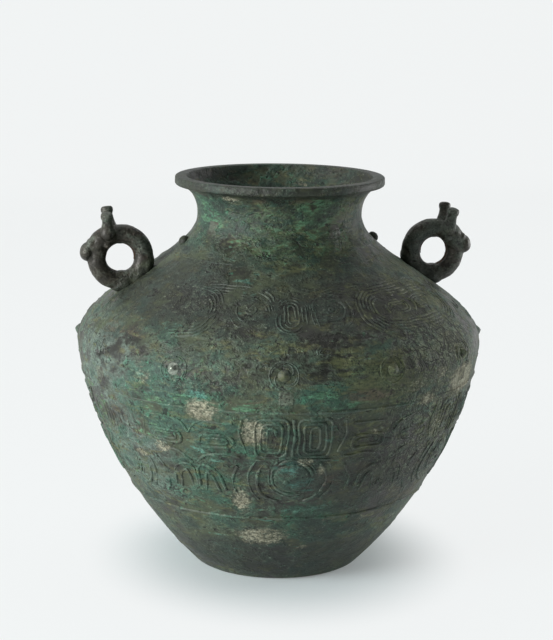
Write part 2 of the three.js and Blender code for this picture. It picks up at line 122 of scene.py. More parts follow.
class Paint(Enum):
    """What is painted on the pieces as point attributes, each from 0 to 1, for the finishes to read."""

    GREEN = "paint_green"
    LEAF = "paint_leaf"
    TEAL = "paint_teal"
    OLIVE = "paint_olive"
    EARTH = "paint_earth"
    RED = "paint_red"
    # Painted shade, partly dark patina: darkens the wall where less light falls.
    DARK = "paint_dark_and_shade"
    # Painted shade, partly dirt: darkens the ground between the ornament's raised threads.
    GROOVE = "paint_groove"
    WORN = "paint_worn"
    # Painted light, partly chalky carbonate: lightens the side that faces the key lamp and the right edge.
    PALE_AND_LIT = "paint_pale_and_lit"
    CRUST = "paint_crust"
    # How near the wall a handle's point is: it brings the wall's colour and painted shade onto the handle's
    # root.
    ROOT = "paint_root"


@dataclass(frozen=True)
class Film:
    """One product of corrosion that lies over those before it.

    Its edge follows a grain field, and the paint named in it brings it on.
    """

    thin: str
    thick: str
    grain: str
    start: float
    full: float
    paint: Paint | None = None
    reach: float = 0.0
    rough: float = 0.7
    raised: float = 0.0
    opacity: float = 1.0
    tone: str = "mottle"


# Grain fields: size in millimetres, octaves, roughness, distortion, and how much wider than tall each is.
# Real crumbs of corrosion are 0.1 to 0.5 mm, too fine to show, so fleck and grit are drawn coarser.
GRAINS: dict[str, tuple[float, float, float, float, float]] = {
    "cloud": (70.0, 4.0, 0.5, 0.3, 1.5),
    "blotch": (26.0, 5.0, 0.6, 0.3, 1.5),
    "mottle": (11.0, 5.0, 0.6, 0.25, 1.4),
    "streak": (18.0, 6.0, 0.62, 0.3, 3.2),
    "brush": (7.0, 4.0, 0.62, 0.1, 3.4),
    "fleck": (4.0, 3.0, 0.6, 0.1, 1.2),
    "grit": (1.7, 2.0, 0.6, 0.0, 1.0),
}


@dataclass(frozen=True)
class BronzePatina:
    """Leaded tin bronze, cast in a clay mould and long buried.

    The metal itself hardly shows: a dark brown tin-rich skin with a low sheen lies under films of green
    and blue-green copper carbonates, red-brown copper oxide and dull tan earth, each with ragged edges.
    """

    name: str
    skin: str = "#3a3d33"
    skin_dark: str = "#282a24"
    crevice: str = "#151611"
    films: tuple[Film, ...] = ()
    metallic: float = 0.2
    rough: float = 0.42
    specks: str = "#99a292"
    grit_height: float = 0.14
    fleck_height: float = 0.28
    mottle_height: float = 0.65
    pit_size: float = 5.5
    pit_depth: float = 0.5
    speck: tuple[float, float] = (0.62, 1.4)
    line_size: float = 10.0
    line_depth: float = 0.55

    def material(self) -> Material:
        """Builds the node material.

        Returns:
            The material.
        """
        material = blank_material(self.name)
        tree = material.node_tree
        place = add(tree, "ShaderNodeTexCoord")["Object"]
        grains = {}
        for name, (size, octaves, rough, bend, flat) in GRAINS.items():
            drawn = (place, (1.0, 1.0, flat))
            drawn = add(tree, "ShaderNodeVectorMath", drawn, operation="MULTIPLY")[0]
            values = {"Vector": drawn, "Scale": 1000 / size, "Detail": octaves, "Roughness": rough}
            grains[name] = add(tree, "ShaderNodeTexNoise", {**values, "Distortion": bend})["Fac"]
        spread = {"Value": grains["blotch"], "From Min": 0.36, "From Max": 0.62}
        spread = add(tree, "ShaderNodeMapRange", spread, interpolation_type="SMOOTHSTEP")[0]
        skins = {"Factor": spread, 6: linear(self.skin_dark), 7: linear(self.skin)}
        colour = add(tree, "ShaderNodeMix", skins, data_type="RGBA")[2]
        dull = (grains["fleck"], 0.35, self.rough - 0.17)
        rough = add(tree, "ShaderNodeMath", dull, operation="MULTIPLY_ADD")[0]
        zone = {"Value": grains["blotch"], "From Min": 0.4, "From Max": 0.56, "To Min": 0.2, "To Max": 0.9}
        zone = add(tree, "ShaderNodeMapRange", zone, interpolation_type="SMOOTHSTEP")[0]
        worn = add(tree, "ShaderNodeAttribute", attribute_name=Paint.WORN.value)["Fac"]
        worn = add(tree, "ShaderNodeMath", (worn, -0.6, 1.0), operation="MULTIPLY_ADD")[0]
        zone = add(tree, "ShaderNodeMath", (zone, worn), operation="MULTIPLY")[0]
        crust = add(tree, "ShaderNodeAttribute", attribute_name=Paint.CRUST.value)["Fac"]
        zone = add(tree, "ShaderNodeMath", (crust, 0.7, zone), operation="MULTIPLY_ADD")[0]
        height, crevice = self.relief(tree, place, grains, zone, crust)
        metallic = add(tree, "ShaderNodeValue")[0]
        metallic.default_value = self.metallic
        near = add(tree, "ShaderNodeAttribute", attribute_name=Paint.EARTH.value)["Fac"]
        filled = add(tree, "ShaderNodeMath", (near, -0.5, 1.0), operation="MULTIPLY_ADD")[0]
        crevice = add(tree, "ShaderNodeMath", (crevice, filled), operation="MULTIPLY")[0]
        for film in self.films:
            mask = self.cover(tree, film, grains)
            body = {"Value": grains[film.tone], "From Min": 0.36, "From Max": 0.64}
            body = add(tree, "ShaderNodeMapRange", body)[0]
            tones = {"Factor": body, 6: linear(film.thin), 7: linear(film.thick)}
            tint = add(tree, "ShaderNodeMix", tones, data_type="RGBA")[2]
            layers = {"Factor": mask, 6: colour, 7: tint}
            colour = add(tree, "ShaderNodeMix", layers, data_type="RGBA")[2]
            rough = add(tree, "ShaderNodeMix", {"Factor": mask, 2: rough, 3: film.rough})[0]
            metallic = add(tree, "ShaderNodeMix", {"Factor": mask, 2: metallic, 3: 0.0})[0]
            height = add(tree, "ShaderNodeMath", (mask, film.raised, height), operation="MULTIPLY_ADD")[0]
        speck = add(tree, "ShaderNodeMath", (grains["grit"], grains["fleck"]), operation="ADD")[0]
        low, high = self.speck
        speck = {"Value": speck, "From Min": 0.72, "From Max": 1.28, "To Min": low, "To Max": high}
        speck = add(tree, "ShaderNodeMapRange", speck)[0]
        speck = add(tree, "ShaderNodeMix", {"Factor": zone, 2: 1.0, 3: speck})[0]
        colour = add(tree, "ShaderNodeVectorMath", {0: colour, "Scale": speck}, operation="SCALE")[0]
        pale = {"Value": grains["grit"], "From Min": 0.63, "From Max": 0.72, "To Max": 0.8}
        pale = add(tree, "ShaderNodeMapRange", pale, interpolation_type="SMOOTHSTEP")[0]
        near = add(tree, "ShaderNodeMath", (near, 0.9, 0.3), operation="MULTIPLY_ADD")[0]
        pale = add(tree, "ShaderNodeMath", (pale, zone), operation="MULTIPLY")[0]
        pale = add(tree, "ShaderNodeMath", (pale, near), operation="MULTIPLY")[0]
        dots = {"Factor": pale, 6: colour, 7: linear(self.specks)}
        colour = add(tree, "ShaderNodeMix", dots, data_type="RGBA")[2]
        shade = {"Factor": crevice, 6: colour, 7: linear(self.crevice)}
        colour = add(tree, "ShaderNodeMix", shade, data_type="RGBA")[2]
        bump = add(tree, "ShaderNodeBump", {"Strength": 1.0, "Distance": MM, "Height": height})[0]
        values = {"Base Color": colour, "Metallic": metallic, "Roughness": rough, "Normal": bump}
        add(tree, "ShaderNodeOutputMaterial", {"Surface": add(tree, "ShaderNodeBsdfPrincipled", values)[0]})
        return material

    def relief(
        self,
        tree: NodeTree,
        place: NodeSocket,
        grains: dict[str, NodeSocket],
        zone: NodeSocket,
        crust: NodeSocket,
    ) -> tuple[NodeSocket, NodeSocket]:
        """Adds the fine relief of the corroded skin, in millimetres, and how much its pits, cracks and low
        grains are darkened.

        Args:
            tree: the material's tree.
            place: the point on the piece.
            grains: the grain fields by name.
            zone: how rough the skin is there, from 0 to about 1.
            crust: where the skin is cracked all over, from 0 to 1.

        Returns:
            The sockets with the height and with the share of dirt.
        """
        cells = add(tree, "ShaderNodeTexVoronoi", {"Vector": place, "Scale": 1000 / self.pit_size})
        pit = {"Value": cells["Distance"], "From Min": 0.08, "From Max": 0.34, "To Min": -1.0, "To Max": 0.0}
        pit = add(tree, "ShaderNodeMapRange", pit, interpolation_type="SMOOTHSTEP")[0]
        chosen = {"Value": grains["mottle"], "From Min": 0.52, "From Max": 0.62, "To Max": self.pit_depth}
        depth = add(tree, "ShaderNodeMapRange", chosen)[0]
        holes = add(tree, "ShaderNodeMath", (pit, depth), operation="MULTIPLY")[0]
        lines = {"Vector": place, "Scale": 1000 / self.line_size, "Detail": 3.0, "Roughness": 0.55}
        lines = add(tree, "ShaderNodeTexNoise", {**lines, "Distortion": 0.6})["Fac"]
        away = add(tree, "ShaderNodeMath", (lines, 0.5), operation="SUBTRACT")[0]
        away = add(tree, "ShaderNodeMath", {0: away}, operation="ABSOLUTE")[0]
        line = {"Value": away, "From Min": 0.018, "From Max": 0.058, "To Min": 1.0, "To Max": 0.0}
        line = add(tree, "ShaderNodeMapRange", line, interpolation_type="SMOOTHSTEP")[0]
        some = {"Value": grains["mottle"], "From Min": 0.54, "From Max": 0.66}
        some = add(tree, "ShaderNodeMapRange", some)[0]
        some = add(tree, "ShaderNodeMath", (some, crust), operation="MAXIMUM")[0]
        crack = add(tree, "ShaderNodeMath", (line, some), operation="MULTIPLY")[0]
        height = add(tree, "ShaderNodeMath", (crack, -self.line_depth, holes), operation="MULTIPLY_ADD")[0]
        steps = {"grit": self.grit_height, "fleck": self.fleck_height, "mottle": self.mottle_height}
        for name, share in steps.items():
            rise = add(tree, "ShaderNodeMath", (grains[name], zone), operation="MULTIPLY")[0]
            height = add(tree, "ShaderNodeMath", (rise, share * 2, height), operation="MULTIPLY_ADD")[0]
        low = {"Value": grains["grit"], "From Min": 0.3, "From Max": 0.42, "To Min": 1.0, "To Max": 0.0}
        low = add(tree, "ShaderNodeMapRange", low, interpolation_type="SMOOTHSTEP")[0]
        hole = {"Value": grains["fleck"], "From Min": 0.32, "From Max": 0.41, "To Min": 0.9, "To Max": 0.0}
        hole = add(tree, "ShaderNodeMapRange", hole, interpolation_type="SMOOTHSTEP")[0]
        low = add(tree, "ShaderNodeMath", (low, hole), operation="MAXIMUM")[0]
        low = add(tree, "ShaderNodeMath", (low, zone), operation="MULTIPLY")[0]
        darkening = add(tree, "ShaderNodeMath", (holes, -1.2, low), operation="MULTIPLY_ADD")[0]
        darkening = add(tree, "ShaderNodeMath", (crack, 1.0, darkening), operation="MULTIPLY_ADD")[0]
        darkening = add(tree, "ShaderNodeMath", (darkening, 0.85), operation="MINIMUM")[0]
        return height, darkening

    def cover(
        self, tree: NodeTree, film: Film, grains: dict[str, NodeSocket]
    ) -> NodeSocket:
        """Adds where a film lies.

        Args:
            tree: the material's tree.
            film: the film.
            grains: the grain fields by name.

        Returns:
            The socket with the film's share, from 0 to 1.
        """
        value = grains[film.grain]
        edge = (grains["fleck"], 0.2, value)
        value = add(tree, "ShaderNodeMath", edge, operation="MULTIPLY_ADD")[0]
        if film.paint:
            painted = add(tree, "ShaderNodeAttribute", attribute_name=film.paint.value)["Fac"]
            value = add(tree, "ShaderNodeMath", (painted, film.reach, value), operation="MULTIPLY_ADD")[0]
        start, full = film.start + 0.1, film.full + 0.1
        limits = {"Value": value, "From Min": start, "From Max": full, "To Max": film.opacity}
        return add(tree, "ShaderNodeMapRange", limits, interpolation_type="SMOOTHSTEP")[0]


# The films, each of one product of corrosion or dirt; the soot and groove films also carry painted shade,
# and the chalky film painted light. The thin ones keep some of the skin's sheen, the carbonates are flaky
# and matt, and dust, earth and sand are chalky.
OLIVE = Film("#373f2f", "#4d573f", "cloud", 0.42, 0.6, rough=0.62)
GREY_GREEN = Film("#3b4a3c", "#5d6e5c", "blotch", 0.4, 0.6, Paint.GREEN, 0.05, 0.68, 0.1, 0.8, "mottle")
BROWN = Film("#3b322b", "#56453a", "streak", 0.54, 0.66, Paint.RED, 0.2, 0.64, 0.0, 0.7)
SALLOW = Film("#424a2f", "#676d47", "streak", 0.5, 0.7, Paint.OLIVE, 0.3, 0.68, 0.05, 0.8, "brush")
# Painted light, partly chalky carbonate: a pale film where the wall is painted pale.
CHALKY_AND_LIT = Film("#57655d", "#7b8a80", "blotch", 0.56, 0.8, Paint.PALE_AND_LIT, 0.26, 0.78, 0.05, 0.7)
DEEP_GREEN = Film("#1b3d31", "#2e5b48", "blotch", 0.52, 0.7, Paint.GREEN, 0.22, 0.66, 0.05, 0.75)
MALACHITE = Film("#2b5a44", "#4a876a", "mottle", 0.64, 0.78, Paint.GREEN, 0.13, 0.7, 0.12, 0.65, "brush")
LEAF_GREEN = Film("#3a6046", "#5f9270", "streak", 0.66, 0.82, Paint.LEAF, 0.26, 0.7, 0.08, 0.75, "brush")
TEAL = Film("#2f6a60", "#62998c", "streak", 0.66, 0.82, Paint.TEAL, 0.25, 0.7, 0.08, 0.7, "brush")
RUSSET = Film("#463e33", "#5e5245", "streak", 0.8, 1.0, Paint.RED, 0.42, 0.65, 0.0, 0.75, "fleck")
# Painted shade, partly dark patina: a near-black film where the wall is painted dark.
SOOT_AND_SHADE = Film("#181b17", "#242823", "blotch", 0.58, 0.8, Paint.DARK, 0.3, 0.6, 0.0, 0.68)
# Painted shade and dirt: a near-black film on the ground of the ornament, between its raised threads.
GROOVE_DIRT_AND_SHADE = Film("#161813", "#22241c", "mottle", 0.75, 1.0, Paint.GROOVE, 0.46, 0.7, 0.0, 0.75, "fleck")
EARTH = Film("#5f5e4c", "#908b76", "brush", 0.68, 1.04, Paint.EARTH, 0.5, 0.92, 0.1, 0.85, "fleck")
SAND = Film("#a09b87", "#c3bda8", "grit", 0.76, 1.12, Paint.EARTH, 0.4, 0.95, 0.12, 0.6, "brush")
DUST = Film("#6b6d5f", "#8f9181", "grit", 0.66, 0.78, Paint.CRUST, 0.1, 0.85, 0.1, 0.45, "mottle")
CRUSTED = Film("#4c5747", "#767f6b", "fleck", 0.66, 0.92, Paint.CRUST, 0.3, 0.8, 0.2, 0.6, "brush")
CRUMBS = Film("#5c6e5e", "#8d9c86", "fleck", 0.74, 0.84, None, 0.0, 0.8, 0.15, 0.7, "brush")
# Painted highlight, partly wear: pale flecks along the threads' crests.
RUBBED_AND_HIGHLIT = Film("#7d8b7b", "#a7b09f", "brush", 0.6, 0.78, None, 0.0, 0.5, 0.0, 0.5, "fleck")

# The plain wall: a satin, dark olive skin under matt flaky greens, red-brown stains and pale earth.
WALL_PATINA = BronzePatina("cast_bronze_green_patina", films=(
    OLIVE, GREY_GREEN, CHALKY_AND_LIT, BROWN, DEEP_GREEN, MALACHITE, SALLOW, LEAF_GREEN, TEAL, RUSSET, SOOT_AND_SHADE, CRUSTED,
    GROOVE_DIRT_AND_SHADE, CRUMBS, DUST, EARTH, SAND,
))
# The raised threads: rubbed a little paler and smoother than their ground, and painted lighter as a
# highlight, so that they read as lines.
THREAD_PATINA = replace(
    WALL_PATINA,
    name="cast_bronze_worn_relief_painted_highlight",
    skin="#41443b",
    skin_dark="#30332d",
    films=(
        replace(OLIVE, thin="#40493d", thick="#555f4f"),
        replace(GREY_GREEN, thin="#44554a", thick="#66796b"),
        CHALKY_AND_LIT,
        BROWN,
        replace(DEEP_GREEN, thin="#274c3b", thick="#3c6a52"),
        MALACHITE,
        SALLOW,
        LEAF_GREEN,
        TEAL,
        SOOT_AND_SHADE,
        RUBBED_AND_HIGHLIT,
        DUST,
        EARTH,
        SAND,
    ),
    mottle_height=0.3,
    line_depth=0.1,
)
# The handles: a smooth dark brown-grey skin with a low sheen, and green and painted shade only at their
# roots.
HANDLE_PATINA = replace(
    WALL_PATINA,
    name="cast_bronze_dark_patina",
    skin="#464236",
    skin_dark="#2c2a23",
    films=(
        replace(GREY_GREEN, thin="#414840", thick="#5c655a", start=0.46, full=0.62),
        replace(BROWN, thin="#352e29", thick="#4a3e37", start=0.56, full=0.68),
        replace(OLIVE, paint=Paint.ROOT, reach=0.3, start=0.6, full=0.8, opacity=0.8),
        replace(CHALKY_AND_LIT, thin="#3b443e", thick="#4d5750", paint=None),
        # Painted shade where the ring meets the shoulder.
        replace(SOOT_AND_SHADE, start=0.56, full=0.8, paint=Paint.ROOT),
        replace(DUST, thin="#5c5b4d", thick="#7c7a68"),
    ),
    mottle_height=0.3,
    pit_depth=0.3,
    line_depth=0.2,
)
# The one boss that is rubbed down to metal, with a painted glint: a pale, bright skin with little green.
BOSS_PATINA = replace(
    THREAD_PATINA,
    name="cast_bronze_rubbed_boss",
    skin="#c6ccc2",
    skin_dark="#98a194",
    films=(
        replace(GREY_GREEN, thin="#5b6b5c", thick="#869582", start=0.5, full=0.7),
        replace(DEEP_GREEN, paint=None, start=0.6),
    ),
    metallic=0.75,
    rough=0.28,
)
# The chaplets, of another pour of bronze: squarish spots, a little paler and duller than the wall.
CHAPLET_PATINA = replace(
    WALL_PATINA,
    name="chaplet_bronze_patina",
    skin="#4c4a3f",
    skin_dark="#33312b",
    films=(OLIVE, replace(GREY_GREEN, thin="#576355", thick="#727d6c"), BROWN, MALACHITE, SOOT_AND_SHADE, DUST, EARTH),
)


@dataclass(frozen=True)
class FiredClay:
    """The mould core left in the ring: low-fired loess clay, matt, grainy and stained by the bronze."""

    name: str = "fired_clay_core"
    pale: str = "#6b5443"
    dark: str = "#40342b"
    # The grains of loess are under 0.1 mm, too fine to show, so they are drawn coarser.
    grain_size: float = 1.5
    grain_height: float = 0.2

    def material(self) -> Material:
        """Builds the node material.

        Returns:
            The material.
        """
        material = blank_material(self.name)
        tree = material.node_tree
        place = add(tree, "ShaderNodeTexCoord")["Object"]
        stain = add(tree, "ShaderNodeTexNoise", {"Vector": place, "Scale": 160.0, "Detail": 5.0})["Fac"]
        grain = {"Vector": place, "Scale": 1000 / self.grain_size, "Detail": 3.0}
        grain = add(tree, "ShaderNodeTexNoise", grain)["Fac"]
        tones = {"Factor": stain, 6: linear(self.dark), 7: linear(self.pale)}
        colour = add(tree, "ShaderNodeMix", tones, data_type="RGBA")[2]
        height = add(tree, "ShaderNodeMath", (grain, self.grain_height), operation="MULTIPLY")[0]
        bump = add(tree, "ShaderNodeBump", {"Distance": MM, "Height": height})[0]
        values = {"Base Color": colour, "Roughness": 0.95, "Normal": bump}
        shader = add(tree, "ShaderNodeBsdfPrincipled", values)
        add(tree, "ShaderNodeOutputMaterial", {"Surface": shader[0]})
        return material


@dataclass(frozen=True)
class Wall:
    """The turned wall of the jar: three curves from the foot to the underside of the lip."""

    foot_radius: float = 77.7
    belly_radius: float = 187.7
    neck_radius: float = 76.1
    lip_radius: float = 97.0
    belly_height: float = 214.0
    neck_height: float = 329.0
    lip_height: float = 357.0
    top: float = 365.0
    lip_land: float = 11.0
    lip_rounding: float = 2.0
    thickness: float = 4.5
    foot_rounding: float = 5.0
    rest_land: float = 17.0
    recess: float = 3.0
    foot_reach: float = 129.5
    foot_flare: float = 44.7
    belly_reach_below: float = 21.0
    belly_reach_above: float = 42.3
    neck_reach_below: float = 37.7
    neck_reach_above: float = 23.4
    lip_reach: float = 3.3

    @cached_property
    def outer(self) -> np.ndarray:
        """Rows of radius, height and length along the outer face.

        Returns:
            One row for each point, from the foot up.
        """
        flare = math.radians(self.foot_flare)
        foot = (self.foot_radius, 0.0)
        belly = (self.belly_radius, self.belly_height)
        neck = (self.neck_radius, self.neck_height)
        lip = (self.lip_radius - self.lip_rounding, self.lip_height)
        curves = (
            (foot, (foot[0] + self.foot_reach * math.sin(flare), self.foot_reach * math.cos(flare)),
             (belly[0], belly[1] - self.belly_reach_below), belly),
            (belly, (belly[0], belly[1] + self.belly_reach_above),
             (neck[0], neck[1] - self.neck_reach_below), neck),
            (neck, (neck[0], neck[1] + self.neck_reach_above), (lip[0] - self.lip_reach, lip[1]), lip),
        )
        rows = [bezier(*ends, steps=500) for ends in curves]
        flat = np.vstack([rows[0], rows[1][1:], rows[2][1:]])
        length = np.concatenate([[0.0], np.cumsum(np.hypot(*np.diff(flat, axis=0).T))])
        return np.column_stack([flat, length])

    def radius(self, height: np.ndarray | float) -> np.ndarray | float:
        """The outer face's radius at a height."""
        return np.interp(height, self.outer[:, 1], self.outer[:, 0])

    def along(self, height: np.ndarray | float) -> np.ndarray | float:
        """The length along the outer face at a height."""
        return np.interp(height, self.outer[:, 1], self.outer[:, 2])

    def height(self, along: np.ndarray | float) -> np.ndarray | float:
        """The height at a length along the outer face."""
        return np.interp(along, self.outer[:, 2], self.outer[:, 1])

    def facing(self, along: float) -> Point:
        """The way that the outer face looks, as radius and height.

        Args:
            along: the length along the outer face.

        Returns:
            The way, of length 1.
        """
        step = 0.5
        r, z = (np.interp([along - step, along + step], self.outer[:, 2], self.outer[:, k]) for k in (0, 1))
        size = math.hypot(r[1] - r[0], z[1] - z[0]) or 1.0
        return ((z[1] - z[0]) / size, -(r[1] - r[0]) / size)

    def point(self, theta: float, along: float) -> Vector:
        """A point of the outer face in metres.

        Args:
            theta: the angle round the jar.
            along: the length along the outer face.

        Returns:
            The point in the frame of the CAD model.
        """
        height = float(self.height(along))
        radius = float(self.radius(height))
        turn = math.radians(theta)
        return Vector((radius * math.cos(turn), radius * math.sin(turn), height)) * MM


def bezier(a: Point, b: Point, c: Point, d: Point, steps: int) -> np.ndarray:
    """Points of a cubic curve, ends included.

    Args:
        a: one end.
        b: its handle.
        c: the other end's handle.
        d: the other end.
        steps: how many points.

    Returns:
        One row for each point.
    """
    t = np.linspace(0.0, 1.0, steps)[:, None]
    a, b, c, d = (np.array(p, dtype=float) for p in (a, b, c, d))
    return (1 - t) ** 3 * a + 3 * (1 - t) ** 2 * t * b + 3 * (1 - t) * t**2 * c + t**3 * d


WALL = Wall()


@dataclass(frozen=True)
class Patch:
    """One painted place of the wall: its middle, its half width and half height, and its strength."""

    theta: float
    height: float
    wide: float
    tall: float
    strength: float = 1.0


# The films are thick or bare at these places of the front. Everywhere else only the grain fields decide.
PATCHES: dict[Paint, tuple[Patch, ...]] = {
    Paint.EARTH: (
        Patch(-122, 185, 18, 12), Patch(-108, 167, 13, 15), Patch(-137, 143, 11, 7, 0.9),
        Patch(-147, 131, 11, 6, 0.8), Patch(-113, 98, 10, 18, 0.9), Patch(-107, 57, 26, 14),
        Patch(-93, 138, 10, 6, 0.8), Patch(-88, 130, 5, 7, 0.8), Patch(-38, 195, 28, 15, 1.6),
        Patch(-43, 225, 15, 10, 0.5), Patch(-56, 186, 11, 7, 1.2), Patch(-73, 165, 5, 4, 0.8),
        Patch(-141, 219, 6, 3, 0.6), Patch(-140, 208, 15, 8, 0.55), Patch(-50, 112, 17, 15, 0.45),
        Patch(-65, 73, 13, 7, 0.6), Patch(-98, 58, 7, 12, 0.6), Patch(-111, 178, 7, 6, 0.5),
        Patch(-53, 236, 9, 3, 0.5), Patch(-61, 202, 10, 8, 0.75), Patch(-51, 208, 11, 9, 0.85),
        Patch(-44, 236, 9, 6, 0.7), Patch(-48, 156, 16, 13, 0.75), Patch(-56, 98, 17, 9, 0.5),
        Patch(-90, 44, 6, 4, 0.7), Patch(-81, 75, 10, 4, 0.5), Patch(-133, 352, 12, 5, 0.8),
        Patch(64, 346, 10, 8, 0.6), Patch(26, 350, 12, 5, 0.5), Patch(62, 176, 22, 14, 0.9),
        Patch(108, 120, 16, 20, 0.9), Patch(140, 230, 14, 8, 0.8), Patch(20, 96, 18, 8, 0.8),
    ),
    Paint.LEAF: (
        Patch(-77, 338, 38, 24, 0.9), Patch(-92, 322, 76, 36, 0.7), Patch(-158, 336, 26, 24, 0.9),
        Patch(-122, 193, 33, 9, 0.9), Patch(-106, 189, 34, 6, 0.9), Patch(-90, 199, 19, 7),
        Patch(-83, 191, 27, 5, 0.9), Patch(-138, 187, 37, 12, 0.6), Patch(-137, 159, 30, 17, 0.6),
        Patch(-165, 169, 37, 29, 0.5), Patch(-78, 217, 19, 7, 0.6), Patch(-125, 227, 23, 12, 0.5),
        Patch(-152, 115, 29, 22, 0.35), Patch(-58, 174, 21, 16, 0.4), Patch(40, 190, 60, 10, 0.8),
        Patch(115, 210, 50, 16, 0.7), Patch(90, 316, 60, 14, 0.5),
    ),
    Paint.OLIVE: (
        Patch(-78, 324, 70, 40, 0.45), Patch(-67, 213, 51, 25, 0.9), Patch(-82, 226, 18, 18, 0.6),
        Patch(-44, 228, 37, 21, 0.8), Patch(-45, 159, 37, 30, 0.5), Patch(-102, 242, 17, 8, 0.5),
        Patch(-79, 299, 28, 17, 0.4), Patch(-77, 157, 20, 21, 0.4), Patch(-60, 60, 70, 60, 0.2),
        Patch(-50, 262, 70, 50, 0.5), Patch(-48, 200, 50, 60, 0.45), Patch(20, 200, 60, 40, 0.7),
        Patch(160, 130, 50, 40, 0.6),
    ),
    Paint.TEAL: (
        Patch(-123, 198, 13, 8, 0.9), Patch(-137, 213, 34, 9, 0.6), Patch(-97, 136, 22, 15, 0.9),
        Patch(-124, 141, 30, 15, 0.6), Patch(-93, 115, 22, 12, 0.8), Patch(-87, 169, 11, 20, 0.6),
        Patch(-117, 44, 54, 30, 0.5), Patch(-93, 82, 47, 24, 0.6), Patch(-133, 303, 25, 13, 0.6),
        Patch(-117, 279, 27, 36, 0.5), Patch(-132, 248, 24, 16, 0.6), Patch(75, 140, 50, 30, 0.6),
        Patch(150, 90, 40, 30, 0.6),
    ),
    # Painted light, partly chalky carbonate: the left side that faces the key lamp, and the right edge where
    # a sheen falls, are paler.
    Paint.PALE_AND_LIT: (
        Patch(-158, 200, 70, 60, 0.9), Patch(-150, 130, 60, 60, 0.9), Patch(-128, 215, 40, 20, 0.6),
        Patch(-133, 194, 26, 20, 0.75), Patch(-127, 165, 30, 24, 0.7), Patch(-43, 174, 20, 16, 0.7),
        Patch(-35, 130, 30, 80, 0.6), Patch(-45, 225, 40, 30, 0.4), Patch(-150, 276, 64, 60, 0.45),
        Patch(60, 150, 120, 60, 0.5),
    ),
    Paint.GREEN: (
        Patch(-131, 190, 73, 43, 0.8), Patch(-126, 114, 56, 49, 0.45), Patch(-107, 330, 60, 29, 0.75),
        Patch(-76, 322, 84, 40, 0.75), Patch(-156, 334, 40, 34, 0.8), Patch(85, 345, 130, 34, 0.7),
        Patch(-88, 200, 35, 13, 0.9), Patch(-116, 158, 56, 41, 0.7), Patch(-142, 245, 57, 29, 0.3),
        Patch(-95, 151, 44, 42, 0.5), Patch(-163, 122, 57, 49, 0.4), Patch(-52, 214, 66, 40, 0.5),
        Patch(-70, 110, 70, 70, 0.35), Patch(-88, 70, 44, 44, 0.9), Patch(70, 230, 80, 50, 0.6),
        Patch(130, 160, 60, 40, 0.6),
    ),
    Paint.RED: (
        Patch(-76, 199, 32, 7, 1.1), Patch(-111, 194, 17, 4, 0.5), Patch(-136, 188, 11, 6, 0.5),
        Patch(-70, 223, 10, 7, 0.5), Patch(-84, 113, 11, 17, 0.6), Patch(-154, 239, 35, 11, 0.4),
        Patch(-148, 160, 50, 30, 0.35), Patch(-55, 127, 24, 16, 0.8), Patch(-48, 90, 24, 14, 0.7),
        Patch(-72, 130, 14, 9, 0.6), Patch(-45, 168, 20, 18, 0.6), Patch(-100, 352, 40, 8, 0.9),
        Patch(-100, 318, 60, 12, 0.5), Patch(100, 200, 50, 20, 0.7),
    ),
    Paint.CRUST: (
        Patch(-120, 212, 42, 19, 0.5), Patch(-50, 232, 60, 28, 1.2), Patch(-86, 244, 35, 12, 0.35),
        Patch(-52, 150, 70, 70, 0.8), Patch(-113, 252, 26, 15, 0.4), Patch(-135, 269, 40, 23, 0.5),
        Patch(80, 225, 60, 20, 0.8),
    ),
    # Painted shade, partly dirt: the ground between the threads of the dragons, whorls and masks is darker.
    Paint.GROOVE: (
        Patch(-57, 264, 62, 40), Patch(-136, 264, 62, 40, 0.7), Patch(-97, 264, 30, 30, 0.8),
        Patch(44, 264, 62, 40, 0.8), Patch(123, 264, 62, 40, 0.8), Patch(-97, 163, 36, 22, 0.8),
        Patch(-128, 137, 64, 46, 0.6), Patch(-56, 212, 50, 36, 0.7), Patch(-70, 125, 40, 30, 0.6),
    ),
    Paint.WORN: (
        Patch(-152, 262, 55, 60, 0.7), Patch(-155, 170, 60, 60, 0.4), Patch(-112, 215, 60, 26, 0.4),
        Patch(-56, 140, 64, 60, 0.35), Patch(-55, 237, 80, 12, 0.85), Patch(-100, 300, 60, 24, 0.5),
        Patch(30, 262, 50, 60, 0.5),
    ),
    # Painted shade, partly dark patina: the foot, the lower wall, the shoulder, under the lip and the left
    # shoulder by the handle are darker where less light falls.
    Paint.DARK: (
        Patch(-78, 270, 96, 42, 0.8), Patch(-128, 230, 26, 10, 0.5), Patch(-157, 234, 26, 16, 0.5),
        Patch(-101, 74, 28, 12, 0.4), Patch(-120, 268, 70, 44, 0.8), Patch(-150, 274, 90, 54),
        Patch(-60, 310, 60, 40, 0.6), Patch(-45, 330, 60, 30, 0.6), Patch(-90, 361, 300, 12, 1.5),
        Patch(85, 346, 150, 34, 0.5), Patch(-108, 324, 130, 44, 0.6), Patch(-68, 114, 76, 58),
        Patch(-80, 148, 70, 46, 0.85), Patch(-98, 30, 130, 34, 1.3), Patch(-88, 66, 66, 30, 0.7),
        Patch(-150, 60, 60, 50, 0.4), Patch(80, 30, 160, 26, 0.8),
    ),
}


def cylindrical(points: np.ndarray) -> tuple[np.ndarray, np.ndarray, np.ndarray]:
    """Angle round the jar in degrees, height and radius in millimetres of points in metres."""
    theta = np.degrees(np.arctan2(points[:, 1], points[:, 0]))
    return theta, points[:, 2] / MM, np.hypot(points[:, 0], points[:, 1]) / MM


